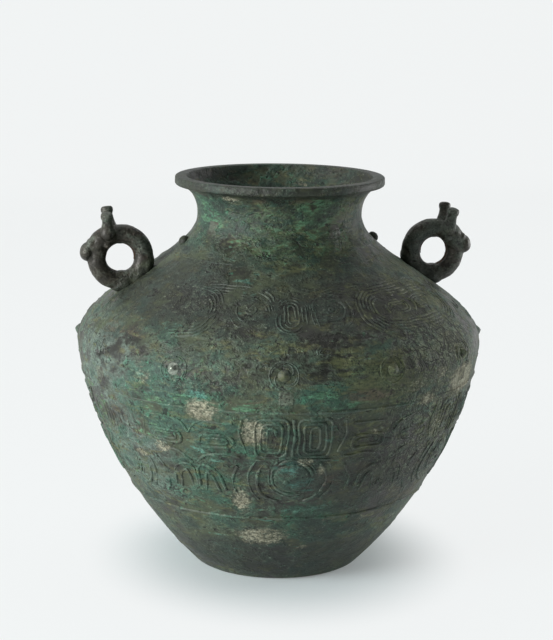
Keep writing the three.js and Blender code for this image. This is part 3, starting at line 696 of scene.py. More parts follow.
def painted(kind: Paint, theta: np.ndarray, height: np.ndarray) -> np.ndarray:
    """How much of a paint the patches give at places of the wall.

    Args:
        kind: the paint.
        theta: the angles round the jar.
        height: the heights.

    Returns:
        The amounts, from 0 to 1.
    """
    radius = WALL.radius(height)
    along = WALL.along(height)
    amount = np.zeros(len(theta))
    for patch in PATCHES[kind]:
        turn = (theta - patch.theta + 180) % 360 - 180
        across = np.radians(turn) * radius / patch.wide
        up = (along - WALL.along(patch.height)) / patch.tall
        share = np.clip(1.4 - np.hypot(across, up), 0, 1)
        amount = np.maximum(amount, share * share * (3 - 2 * share) * patch.strength)
    return amount


def paint(mesh: Mesh) -> None:
    """Stores every paint on a mesh by the place of its points.

    Args:
        mesh: the finished piece's mesh.
    """
    theta, height, radius = cylindrical(positions(mesh))
    clear = (radius - WALL.radius(height)) * SHOULDER_SLOPE
    for kind in Paint:
        amount = painted(kind, theta, height) if kind in PATCHES else np.clip(1.2 - clear / ROOT_REACH, 0, 1)
        store(mesh, kind.value, amount)


def vectors(rows: bpy.types.bpy_prop_collection, name: str) -> np.ndarray:
    """One vector of every member of a mesh's collection, as rows of three.

    Args:
        rows: the collection.
        name: the vector's name in each member.

    Returns:
        The rows.
    """
    flat = np.empty(len(rows) * 3, dtype=np.float32)
    rows.foreach_get(name, flat)
    return flat.reshape(-1, 3).astype(float)


def positions(mesh: Mesh) -> np.ndarray:
    """The points of a mesh."""
    return vectors(mesh.vertices, "co")


def normals(mesh: Mesh) -> np.ndarray:
    """The point normals of a mesh."""
    return vectors(mesh.vertex_normals, "vector")


def reshape(mesh: Mesh, points: np.ndarray) -> None:
    """Moves the points of a mesh."""
    mesh.vertices.foreach_set("co", points.astype(np.float32).ravel())
    mesh.update()


def store(mesh: Mesh, name: str, values: np.ndarray) -> None:
    """Stores one number for each point of a mesh."""
    mesh.attributes.new(name, "FLOAT", "POINT").data.foreach_set("value", values.astype(np.float32))


def roughness(points: np.ndarray, size: float, octaves: int, seed: float) -> np.ndarray:
    """Smooth noise of about -1 to 1 at points in metres, with features of a size in millimetres.

    Args:
        points: rows of three.
        size: the features' size.
        octaves: how much finer detail it has.
        seed: what picks it.

    Returns:
        One number for each point.
    """
    shift = Vector((seed, -seed, seed * 0.5))
    scale = 1000 / size
    return np.array([noise.fractal(Vector(p) * scale + shift, 1.0, 2.0, octaves) for p in points])


def linked(name: str, data: bpy.types.ID) -> Object:
    """A new object of the scene with its data.

    Args:
        name: its name.
        data: its mesh, lamp or camera.

    Returns:
        The object.
    """
    thing = bpy.data.objects.new(name, data)
    bpy.context.scene.collection.objects.link(thing)
    return thing


def meshed(name: str, points: Iterable[Sequence[float]], edges: Iterable, faces: Iterable) -> Object:
    """A linked object from points in metres, edges and faces.

    Args:
        name: its name.
        points: the points.
        edges: the edges without faces.
        faces: the faces.

    Returns:
        The object.
    """
    mesh = bpy.data.meshes.new(name)
    mesh.from_pydata([tuple(p) for p in points], list(edges), list(faces))
    return linked(name, mesh)


def lathed(name: str, profile: Sequence[Point], around: int) -> Object:
    """A closed round form from its profile in millimetres, whose first and last points are its poles.

    Args:
        name: its name.
        profile: radius and height of each point.
        around: how many sides it has.

    Returns:
        The object.
    """
    points = [(0.0, 0.0, profile[0][1] * MM)]
    for r, z in profile[1:-1]:
        for k in range(around):
            turn = math.tau * k / around
            points.append((r * MM * math.cos(turn), r * MM * math.sin(turn), z * MM))
    points.append((0.0, 0.0, profile[-1][1] * MM))
    top = len(points) - 1
    faces: list[tuple[int, ...]] = [(0, 1 + (k + 1) % around, 1 + k) for k in range(around)]
    for low in range(1, top - around, around):
        for k in range(around):
            n = (k + 1) % around
            faces.append((low + k, low + n, low + around + n, low + around + k))
    faces += [(top - around + k, top - around + (k + 1) % around, top) for k in range(around)]
    return meshed(name, points, [], faces)


def evaluated(thing: Object) -> Mesh:
    """A plain mesh of an object as its modifiers leave it."""
    graph = bpy.context.evaluated_depsgraph_get()
    return bpy.data.meshes.new_from_object(thing.evaluated_get(graph), depsgraph=graph)


def grown(base: Object, tree: NodeTree, values: dict[str, object], name: str) -> Object:
    """Runs a Geometry Nodes tree on an object and keeps the result as a plain mesh.

    Args:
        base: what the tree starts from. It is removed.
        tree: the tree.
        values: the tree's inputs by name.
        name: the new piece's name.

    Returns:
        The new piece.
    """
    modifier = base.modifiers.new(tree.name, "NODES")
    modifier.node_group = tree
    sockets = {s.name: s.identifier for s in tree.interface.items_tree if s.in_out == "INPUT"}
    for label, value in values.items():
        modifier[sockets[label]] = value
    mesh = evaluated(base)
    base.modifiers.remove(modifier)
    bpy.data.objects.remove(base)
    mesh.name = name
    return linked(name, mesh)


def settled(piece: Object) -> Object:
    """Applies a piece's modifiers to its mesh.

    Args:
        piece: the piece.

    Returns:
        The same piece.
    """
    mesh = evaluated(piece)
    piece.modifiers.clear()
    piece.data = mesh
    return piece


def dress(piece: Object, material: Material, slot: str, *nodes: str) -> None:
    """Gives a finished piece its material and paint, and ties it to the frame.

    Args:
        piece: the piece.
        material: its finish.
        slot: not used.
        nodes: the CAD nodes that it replaces.
    """
    piece.data.materials.clear()
    piece.data.materials.append(material)
    for polygon in piece.data.polygons:
        polygon.use_smooth = True
    paint(piece.data)
    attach(piece, ROOT)
    if nodes:
        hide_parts(*nodes)
    LOG.info("%s: %d triangles", piece.name, sum(len(p.vertices) - 2 for p in piece.data.polygons))


def new_tree(name: str, output: str, inputs: dict[str, str]) -> tuple[NodeTree, Sockets]:
    """Starts a Geometry Nodes tree with its named sockets.

    Args:
        name: the tree's name.
        output: the name of what it gives.
        inputs: the names of its inputs and the kind of each.

    Returns:
        The tree, and the sockets of its inputs by name.
    """
    tree = bpy.data.node_groups.new(name, "GeometryNodeTree")
    for label, kind in inputs.items():
        tree.interface.new_socket(label, in_out="INPUT", socket_type=f"NodeSocket{kind}")
    tree.interface.new_socket(output, in_out="OUTPUT", socket_type="NodeSocketGeometry")
    return tree, add(tree, "NodeGroupInput")


def end_tree(tree: NodeTree, shape: NodeSocket, finish: NodeSocket) -> NodeTree:
    """Ends a tree with real meshes in their finish.

    Args:
        tree: the tree.
        shape: what it has made.
        finish: the material.

    Returns:
        The same tree.
    """
    shape = add(tree, "GeometryNodeRealizeInstances", {"Geometry": shape})[0]
    shape = add(tree, "GeometryNodeSetMaterial", {"Geometry": shape, "Material": finish})[0]
    add(tree, "NodeGroupOutput", {0: shape})
    return tree


def uneven(tree: NodeTree, size: NodeSocket, seed: NodeSocket, octaves: float, rough: float) -> NodeSocket:
    """Adds noise of 0 to 1 over the points.

    Args:
        tree: the tree.
        size: the size of its features.
        seed: what picks it.
        octaves: how much fine detail it has.
        rough: how strong that detail is.

    Returns:
        The noise's socket.
    """
    place = add(tree, "GeometryNodeInputPosition")[0]
    pitch = add(tree, "ShaderNodeMath", (1.0, size), operation="DIVIDE")[0]
    wave = {"Vector": place, "W": seed, "Scale": pitch, "Detail": octaves, "Roughness": rough}
    return add(tree, "ShaderNodeTexNoise", wave, noise_dimensions="4D")["Fac"]


def face_below(tree: NodeTree, wall: NodeSocket) -> tuple[NodeSocket, NodeSocket]:
    """Adds the nearest place on the wall's face and the way that the face looks there.

    Args:
        tree: the tree.
        wall: the wall.

    Returns:
        The sockets with the place and the way.
    """
    near = add(tree, "GeometryNodeProximity", {"Geometry": wall}, target_element="FACES")["Position"]
    facing = {"Mesh": wall, "Value": add(tree, "GeometryNodeInputNormal")[0]}
    return near, add(tree, "GeometryNodeSampleNearestSurface", facing, data_type="FLOAT_VECTOR")[0]


def lay(
    tree: NodeTree, shape: NodeSocket, near: NodeSocket, facing: NodeSocket, lift: NodeSocket
) -> NodeSocket:
    """Adds the shape's move to the nearest place on the wall's face, and out of it by a lift.

    Args:
        tree: the tree.
        shape: the shape whose points move.
        near: the nearest place on the face.
        facing: the way that the face looks.
        lift: how far out each point goes.

    Returns:
        The moved shape.
    """
    offset = add(tree, "ShaderNodeVectorMath", {0: facing, "Scale": lift}, operation="SCALE")[0]
    laid = {"Geometry": shape, "Position": near, "Offset": offset}
    return add(tree, "GeometryNodeSetPosition", laid)[0]


def turning_tree() -> NodeTree:
    """The tree that turns a profile about the jar's axis and makes the wall a little uneven.

    The profile's points lie in the XZ plane, and their Y says how uneven the wall may be there.

    Returns:
        The tree.
    """
    tree, given = new_tree("turned_wall", "Wall", {
        "Profile": "Geometry", "Around": "Int", "Along": "Int", "Uneven": "Float", "Uneven Size": "Float",
        "Seed": "Float", "Finish": "Material",
    })
    grid = {"Size X": 1.0, "Size Y": 1.0, "Vertices X": given["Around"], "Vertices Y": given["Along"]}
    sheet = add(tree, "GeometryNodeMeshGrid", grid)["Mesh"]
    place = add(tree, "GeometryNodeInputPosition")[0]
    split = add(tree, "ShaderNodeSeparateXYZ", {0: place})
    turn = add(tree, "ShaderNodeMath", (split["X"], math.tau, math.pi), operation="MULTIPLY_ADD")[0]
    last = add(tree, "ShaderNodeMath", (given["Along"], 1.0), operation="SUBTRACT")[0]
    share = add(tree, "ShaderNodeMath", (split["Y"], 0.5), operation="ADD")[0]
    index = add(tree, "ShaderNodeMath", (share, last, 0.5), operation="MULTIPLY_ADD")[0]
    pick = {"Geometry": given["Profile"], "Value": place, "Index": index}
    row = add(tree, "GeometryNodeSampleIndex", pick, data_type="FLOAT_VECTOR", domain="POINT")[0]
    at = add(tree, "ShaderNodeSeparateXYZ", {0: row})
    ways = []
    for turned in ("COSINE", "SINE"):
        way = add(tree, "ShaderNodeMath", {0: turn}, operation=turned)[0]
        ways.append(add(tree, "ShaderNodeMath", (way, at["X"]), operation="MULTIPLY")[0])
    point = add(tree, "ShaderNodeCombineXYZ", {"X": ways[0], "Y": ways[1], "Z": at["Z"]})[0]
    kept = {"Geometry": sheet, "Name": "loose", "Value": at["Y"]}
    sheet = add(tree, "GeometryNodeStoreNamedAttribute", kept, data_type="FLOAT", domain="POINT")[0]
    sheet = add(tree, "GeometryNodeSetPosition", {"Geometry": sheet, "Position": point})[0]
    sheet = add(tree, "GeometryNodeMergeByDistance", {"Geometry": sheet, "Distance": 1e-6})[0]
    wave = uneven(tree, given["Uneven Size"], given["Seed"], 3.0, 0.5)
    wave = add(tree, "ShaderNodeMath", (wave, 0.5), operation="SUBTRACT")[0]
    loose = add(tree, "GeometryNodeInputNamedAttribute", {"Name": "loose"}, data_type="FLOAT")[0]
    wave = add(tree, "ShaderNodeMath", (wave, loose), operation="MULTIPLY")[0]
    wave = add(tree, "ShaderNodeMath", (wave, given["Uneven"]), operation="MULTIPLY")[0]
    outward = add(tree, "GeometryNodeInputNormal")[0]
    offset = add(tree, "ShaderNodeVectorMath", {0: outward, "Scale": wave}, operation="SCALE")[0]
    sheet = add(tree, "GeometryNodeSetPosition", {"Geometry": sheet, "Offset": offset})[0]
    return end_tree(tree, sheet, given["Finish"])


def thread_tree() -> NodeTree:
    """The tree that lays raised threads along lines on the wall, worn away in places.

    Returns:
        The tree.
    """
    tree, given = new_tree("raised_threads", "Threads", {
        "Lines": "Geometry", "Wall": "Object", "Width": "Float", "Relief": "Float", "Sides": "Int",
        "Wear": "Float", "Wear Size": "Float", "Seed": "Float", "Finish": "Material",
    })
    wall = add(tree, "GeometryNodeObjectInfo", {"Object": given["Wall"]})["Geometry"]
    lines = add(tree, "GeometryNodeMeshToCurve", {0: given["Lines"]})[0]
    half = add(tree, "ShaderNodeMath", (given["Width"], 0.5), operation="MULTIPLY")[0]
    lift = add(tree, "ShaderNodeMath", (given["Relief"], half), operation="SUBTRACT")[0]
    lines = lay(tree, lines, *face_below(tree, wall), lift)
    wave = uneven(tree, given["Wear Size"], given["Seed"], 4.0, 0.6)
    low = add(tree, "ShaderNodeMath", (given["Wear"], 0.1), operation="SUBTRACT")[0]
    high = add(tree, "ShaderNodeMath", (given["Wear"], 0.1), operation="ADD")[0]
    left = {"Value": wave, "From Min": low, "From Max": high, "To Min": 0.15, "To Max": 1.0}
    left = add(tree, "ShaderNodeMapRange", left, interpolation_type="SMOOTHSTEP")[0]
    strength = add(tree, "GeometryNodeInputNamedAttribute", {"Name": "strength"}, data_type="FLOAT")[0]
    size = add(tree, "ShaderNodeMath", (left, strength), operation="MULTIPLY")[0]
    section = {"Resolution": given["Sides"], "Radius": half}
    section = add(tree, "GeometryNodeCurvePrimitiveCircle", section)["Curve"]
    swept = {"Curve": lines, "Profile Curve": section, "Scale": size, "Fill Caps": True}
    swept = add(tree, "GeometryNodeCurveToMesh", swept)[0]
    return end_tree(tree, swept, given["Finish"])


def motif_tree() -> NodeTree:
    """The tree that sets copies of one motif round the wall and bends each to the wall's face.

    The motif lies flat in its XY plane with +Y up the wall, and its Z is how far it stands out.

    Returns:
        The tree.
    """
    tree, given = new_tree("cast_motifs", "Motifs", {
        "Places": "Geometry", "Wall": "Object", "Motif": "Object", "Size": "Float", "Relief": "Float",
        "Finish": "Material",
    })
    wall = add(tree, "GeometryNodeObjectInfo", {"Object": given["Wall"]})["Geometry"]
    motif = add(tree, "GeometryNodeObjectInfo", {"Object": given["Motif"]})["Geometry"]
    place = add(tree, "GeometryNodeInputPosition")[0]
    own = add(tree, "ShaderNodeSeparateXYZ", {0: place})["Z"]
    kept = {"Geometry": motif, "Name": "lift", "Value": own}
    motif = add(tree, "GeometryNodeStoreNamedAttribute", kept, data_type="FLOAT", domain="POINT")[0]
    near, facing = face_below(tree, wall)
    turn = add(tree, "FunctionNodeAlignRotationToVector", {"Vector": facing}, axis="Z")[0]
    up = {"Rotation": turn, "Vector": (0.0, 0.0, 1.0)}
    turn = add(tree, "FunctionNodeAlignRotationToVector", up, axis="Y", pivot_axis="Z")[0]
    scale = add(tree, "GeometryNodeInputNamedAttribute", {"Name": "strength"}, data_type="FLOAT")[0]
    scale = add(tree, "ShaderNodeMath", (scale, given["Size"]), operation="MULTIPLY")[0]
    copies = {"Points": given["Places"], "Instance": motif, "Rotation": turn, "Scale": scale}
    copies = add(tree, "GeometryNodeInstanceOnPoints", copies)[0]
    copies = add(tree, "GeometryNodeRealizeInstances", {"Geometry": copies})[0]
    lift = add(tree, "GeometryNodeInputNamedAttribute", {"Name": "lift"}, data_type="FLOAT")[0]
    lift = add(tree, "ShaderNodeMath", (lift, given["Relief"]), operation="MULTIPLY")[0]
    return end_tree(tree, lay(tree, copies, near, facing, lift), given["Finish"])


@dataclass
class JarBody:
    """The casting itself: foot, belly, shoulder, neck and lip, hollow, with its corroded skin."""

    around: int = 400
    outer_step: float = 2.9
    inner_step: float = 10.0
    uneven: float = 1.5
    uneven_size: float = 60.0
    crust_height: float = 0.28
    crust_size: float = 14.0
    lumps: int = 240
    pits: int = 130
    lump_reach: Point = (3.5, 8.0)
    lump_height: Point = (0.25, 0.7)
    skin_limits: Point = (-1.2, 0.8)
    run_in: float = 14.0
    # The lip stays this far below the top of the CAD box.
    lip_sink: float = 0.3
    seed: int = 11

    def profile(self) -> list[Triple]:
        """The closed profile from the underside's centre to the floor's: radius, looseness and height.

        Returns:
            The rows.
        """
        wall = WALL
        rest_outer = wall.foot_radius - wall.foot_rounding
        rest_inner = rest_outer - wall.rest_land
        rows = [(r, 0.0, wall.recess) for r in np.linspace(0, rest_inner - wall.recess, 7)]
        rows += [(r, 0.0, 0.0) for r in np.linspace(rest_inner, rest_outer, 4)]
        start = wall.along(wall.foot_rounding / 2)
        total = wall.outer[-1, 2]
        first = (float(wall.radius(wall.height(start))), float(wall.height(start)))
        for t in (0.3, 0.6, 0.85):
            r = (1 - t) ** 2 * rest_outer + 2 * t * (1 - t) * wall.foot_radius + t * t * first[0]
            rows.append((r, 0.0, t * t * first[1]))
        for along in np.linspace(start, total, int((total - start) / self.outer_step)):
            height = float(wall.height(along))
            loose = min(1.0, (along - start) / self.run_in) * (0.5 if height > wall.lip_height - 6 else 1.0)
            rows.append((float(np.interp(along, wall.outer[:, 2], wall.outer[:, 0])), loose, height))
        rows += self.lip()
        rows += self.inside()
        return rows

    def lip(self) -> list[Triple]:
        """The thick flat lip: rounded outer edge, land and inner edge.

        Returns:
            Rows of the profile.
        """
        wall = WALL
        soft = wall.lip_rounding
        edge = wall.lip_radius - soft
        rows = []
        for height, low in ((wall.lip_height + soft, -90), (wall.top - soft, 0)):
            level = height - self.lip_sink
            for angle in (low + 20, low + 45, low + 70, low + 90):
                turn = math.radians(angle)
                rows.append((edge + soft * math.cos(turn), 0.0, level + soft * math.sin(turn)))
        mouth = wall.lip_radius - wall.lip_land
        rows += [(r, 0.0, wall.top - self.lip_sink) for r in np.linspace(edge - 2, mouth + 1.5, 3)]
        rows.append((mouth + 0.5, 0.0, wall.top - 0.6))
        rows.append((mouth, 0.2, wall.top - 1.3))
        return rows

    def inside(self) -> list[Triple]:
        """The inner face from the mouth down to the floor's centre.

        Returns:
            Rows of the profile.
        """
        wall = WALL
        mouth = wall.lip_radius - wall.lip_land
        waist = wall.neck_radius - wall.thickness
        throat = bezier(
            (mouth, wall.top - 1),
            (mouth, wall.lip_height - 4),
            (waist, wall.neck_height + wall.neck_reach_above / 2),
            (waist, wall.neck_height),
            steps=9,
        )
        rows = [(r, 0.5, z) for r, z in throat[1:]]
        floor = wall.recess + wall.thickness
        top = wall.along(wall.neck_height) - self.inner_step / 2
        foot = wall.along(floor + wall.foot_rounding)
        for along in np.linspace(top, foot, int((top - foot) / self.inner_step)):
            face = wall.facing(along)
            height = float(wall.height(along))
            radius = float(np.interp(along, wall.outer[:, 2], wall.outer[:, 0])) - wall.thickness * face[0]
            rows.append((radius, 0.8, height - wall.thickness * face[1]))
        reach = rows[-1][0] - 2 * wall.foot_rounding
        rows += [(r, 0.5, floor) for r in np.linspace(reach, 0, 7)]
        return rows

    def build(self, tree: NodeTree, material: Material) -> Object:
        """Turns the profile and works its skin.

        Args:
            tree: the turning tree.
            material: the wall's finish.

        Returns:
            The jar's body.
        """
        rows = [(r * MM, loose, z * MM) for r, loose, z in self.profile()]
        line = meshed("profile", rows, [(i, i + 1) for i in range(len(rows) - 1)], [])
        values = {"Around": self.around + 1, "Along": len(rows), "Uneven": self.uneven * MM,
                  "Uneven Size": self.uneven_size * MM, "Seed": float(self.seed), "Finish": material}
        body = grown(line, tree, values, "jar_body")
        shell = bmesh.new()
        shell.from_mesh(body.data)
        bmesh.ops.recalc_face_normals(shell, faces=shell.faces)
        shell.to_mesh(body.data)
        shell.free()
        self.work_skin(body.data)
        return body

    def work_skin(self, mesh: Mesh) -> None:
        """Raises crust and lumps on the outer face, and sinks pits in it.

        Args:
            mesh: the body's mesh.
        """
        points = positions(mesh)
        _, height, radius = cylindrical(points)
        outer = (np.abs(radius - WALL.radius(height)) < 2.2) & (height > 10) & (height < WALL.lip_height - 2)
        chosen = np.flatnonzero(outer)
        move = np.zeros(len(points))
        fade = np.clip((height[chosen] - 10) / 15, 0, 1)
        move[chosen] = roughness(points[chosen], self.crust_size, 4, 3.1) * self.crust_height * fade
        tree = kdtree.KDTree(len(chosen))
        for i in chosen:
            tree.insert(points[i], int(i))
        tree.balance()
        dice = random.Random(self.seed)
        for count, sign in ((self.lumps, 1.0), (self.pits, -1.0)):
            for _ in range(count):
                at = WALL.point(dice.uniform(0, 360), dice.uniform(20, WALL.outer[-1, 2] - 30))
                reach = dice.uniform(*self.lump_reach) * MM
                amount = dice.uniform(*self.lump_height) * sign
                for _, i, distance in tree.find_range(at, reach):
                    move[i] += amount * (1 - (distance / reach) ** 2)
        points += normals(mesh) * (np.clip(move, *self.skin_limits) * MM)[:, None]
        reshape(mesh, points)


@dataclass(frozen=True)
class Stroke:
    """One line of the ornament: its points to the right and up the wall from its unit's middle."""

    points: tuple[Point, ...]
    strength: float = 1.0
    closed: bool = False

    def mirrored(self) -> "Stroke":
        """The same line on the other side of the unit's axis."""
        return replace(self, points=tuple((-x, y) for x, y in self.points))


def curve(*points: Point, strength: float = 1.0) -> Stroke:
    """A smooth line through a few points.

    Args:
        points: the points that it goes through.
        strength: how well it has lasted.

    Returns:
        The stroke, with a point about every two millimetres.
    """
    given = [np.array(p, dtype=float) for p in points]
    ends = [given[0] * 2 - given[1], *given, given[-1] * 2 - given[-2]]
    out: list[Point] = []
    for a, b, c, d in zip(ends, ends[1:], ends[2:], ends[3:]):
        steps = max(2, int(np.hypot(*(c - b)) / 2))
        for k in range(steps):
            t = k / steps
            bend = (2 * a - 5 * b + 4 * c - d) * t**2 + (3 * b - a - 3 * c + d) * t**3
            at = 0.5 * (2 * b + (c - a) * t + bend)
            out.append((float(at[0]), float(at[1])))
    out.append(tuple(given[-1]))
    return Stroke(tuple(out), strength)


def racetrack(x: float, y: float, wide: float, tall: float, corner: float, strength: float = 1.0) -> Stroke:
    """A closed loop with round corners, by its middle, half width, half height and corner radius.

    Args:
        x: the middle, to the right.
        y: the middle, up the wall.
        wide: half its width.
        tall: half its height.
        corner: the corners' radius.
        strength: how well it has lasted.

    Returns:
        The stroke.
    """
    out: list[Point] = []
    for quarter in range(4):
        cx = (wide - corner) * (1 if quarter in (0, 3) else -1)
        cy = (tall - corner) * (1 if quarter < 2 else -1)
        for k in range(6):
            turn = math.radians(90 * quarter + 18 * k)
            out.append((x + cx + corner * math.cos(turn), y + cy + corner * math.sin(turn)))
    return Stroke(resampled(out, True), strength, True)


def round_line(x: float, y: float, radius: float, strength: float = 1.0) -> Stroke:
    """A circle.

    Args:
        x: the middle, to the right.
        y: the middle, up the wall.
        radius: its radius.
        strength: how well it has lasted.

    Returns:
        The stroke.
    """
    steps = max(8, int(math.tau * radius / 1.6))
    turns = np.radians(np.linspace(0, 360, steps, endpoint=False))
    return Stroke(tuple((x + radius * math.cos(a), y + radius * math.sin(a)) for a in turns), strength, True)


def resampled(points: Sequence[Point], closed: bool, step: float = 2.2) -> tuple[Point, ...]:
    """The same line with points at even steps.

    Args:
        points: the line's points.
        closed: whether its ends join.
        step: about how far apart the new points are.

    Returns:
        The new points.
    """
    rows = np.array([*points, points[0]] if closed else points, dtype=float)
    length = np.concatenate([[0.0], np.cumsum(np.hypot(*np.diff(rows, axis=0).T))])
    count = max(4, int(length[-1] / step))
    at = np.linspace(0, length[-1], count, endpoint=not closed)
    return tuple(zip(np.interp(at, length, rows[:, 0]).tolist(), np.interp(at, length, rows[:, 1]).tolist()))


def coil(
    x: float, y: float, long: float, pitch: float, turns: float, start: float, strength: float = 1.0
) -> Stroke:
    """A coil drawn out sideways: a spiral whose turns are straight above and below.

    Args:
        x: the middle, to the right.
        y: the middle, up the wall.
        long: half the length of its straight stretches.
        pitch: the distance from turn to turn.
        turns: how many times it goes round.
        start: the radius of the innermost turn.
        strength: how well it has lasted.

    Returns:
        The stroke.
    """
    out: list[Point] = []
    for k in range(int(turns * 72) + 1):
        turn = math.radians(5 * k)
        radius = start + pitch * turn / math.tau
        side = math.copysign(min(1.0, abs(math.cos(turn)) * 2.2) ** 0.8, math.cos(turn))
        out.append((x + long * side + radius * math.cos(turn), y + radius * math.sin(turn)))
    return Stroke(resampled(out, False), strength)


@dataclass
class ThreadBand:
    """A band of the ornament in thin raised threads."""

    name: str
    width: float = 2.6
    relief: float = 0.95
    sides: int = 6
    wear: float = 0.46
    wear_size: float = 17.0
    stray: float = 1.4
    stray_size: float = 17.0
    seed: float = 1.0
    lines: list[tuple[float, float, Stroke]] = field(default_factory=list)

    def place(self, theta: float, height: float, strokes: Iterable[Stroke], mirror: bool = False) -> None:
        """Puts strokes on the wall about a middle.

        Args:
            theta: the unit's angle round the jar.
            height: the unit's height.
            strokes: the strokes.
            mirror: whether each stroke is also put on the other side of the unit's axis.
        """
        for stroke in strokes:
            self.lines.append((theta, height, stroke))
            if mirror:
                self.lines.append((theta, height, stroke.mirrored()))

    def encircle(self, heights: Iterable[float], strength: float) -> None:
        """Puts a line right round the jar at each of the heights.

        Args:
            heights: the heights.
            strength: how well the lines have lasted.
        """
        for height in heights:
            round_it = np.linspace(0, math.tau * float(WALL.radius(height)), 480, endpoint=False)
            self.place(0, height, [Stroke(tuple((x, 0.0) for x in round_it), strength, True)])

    def build(self, tree: NodeTree, wall: Object, material: Material) -> Object:
        """Lays the threads on the wall.

        Args:
            tree: the thread tree.
            wall: the jar's body.
            material: the threads' finish.

        Returns:
            The band.
        """
        points: list[Vector] = []
        edges: list[tuple[int, int]] = []
        strength: list[float] = []
        for turn, level, stroke in self.lines:
            first = len(points)
            middle = float(WALL.along(level))
            radius = float(WALL.radius(level))
            for x, y in stroke.points:
                stray = noise.noise_vector(Vector((turn + x, y, self.seed)) / self.stray_size) * self.stray
                points.append(WALL.point(turn + math.degrees((x + stray.x) / radius), middle + y + stray.y))
                strength.append(stroke.strength)
            edges += [(i, i + 1) for i in range(first, len(points) - 1)]
            if stroke.closed:
                edges.append((len(points) - 1, first))
        base = meshed(self.name, points, edges, [])
        theta, height, _ = cylindrical(positions(base.data))
        lasting = np.array(strength) * (1 - painted(Paint.WORN, theta, height))
        store(base.data, "strength", lasting)
        values = {"Wall": wall, "Width": self.width * MM, "Relief": self.relief * MM, "Sides": self.sides,
                  "Wear": self.wear, "Wear Size": self.wear_size * MM, "Seed": self.seed, "Finish": material}
        return grown(base, tree, values, self.name)


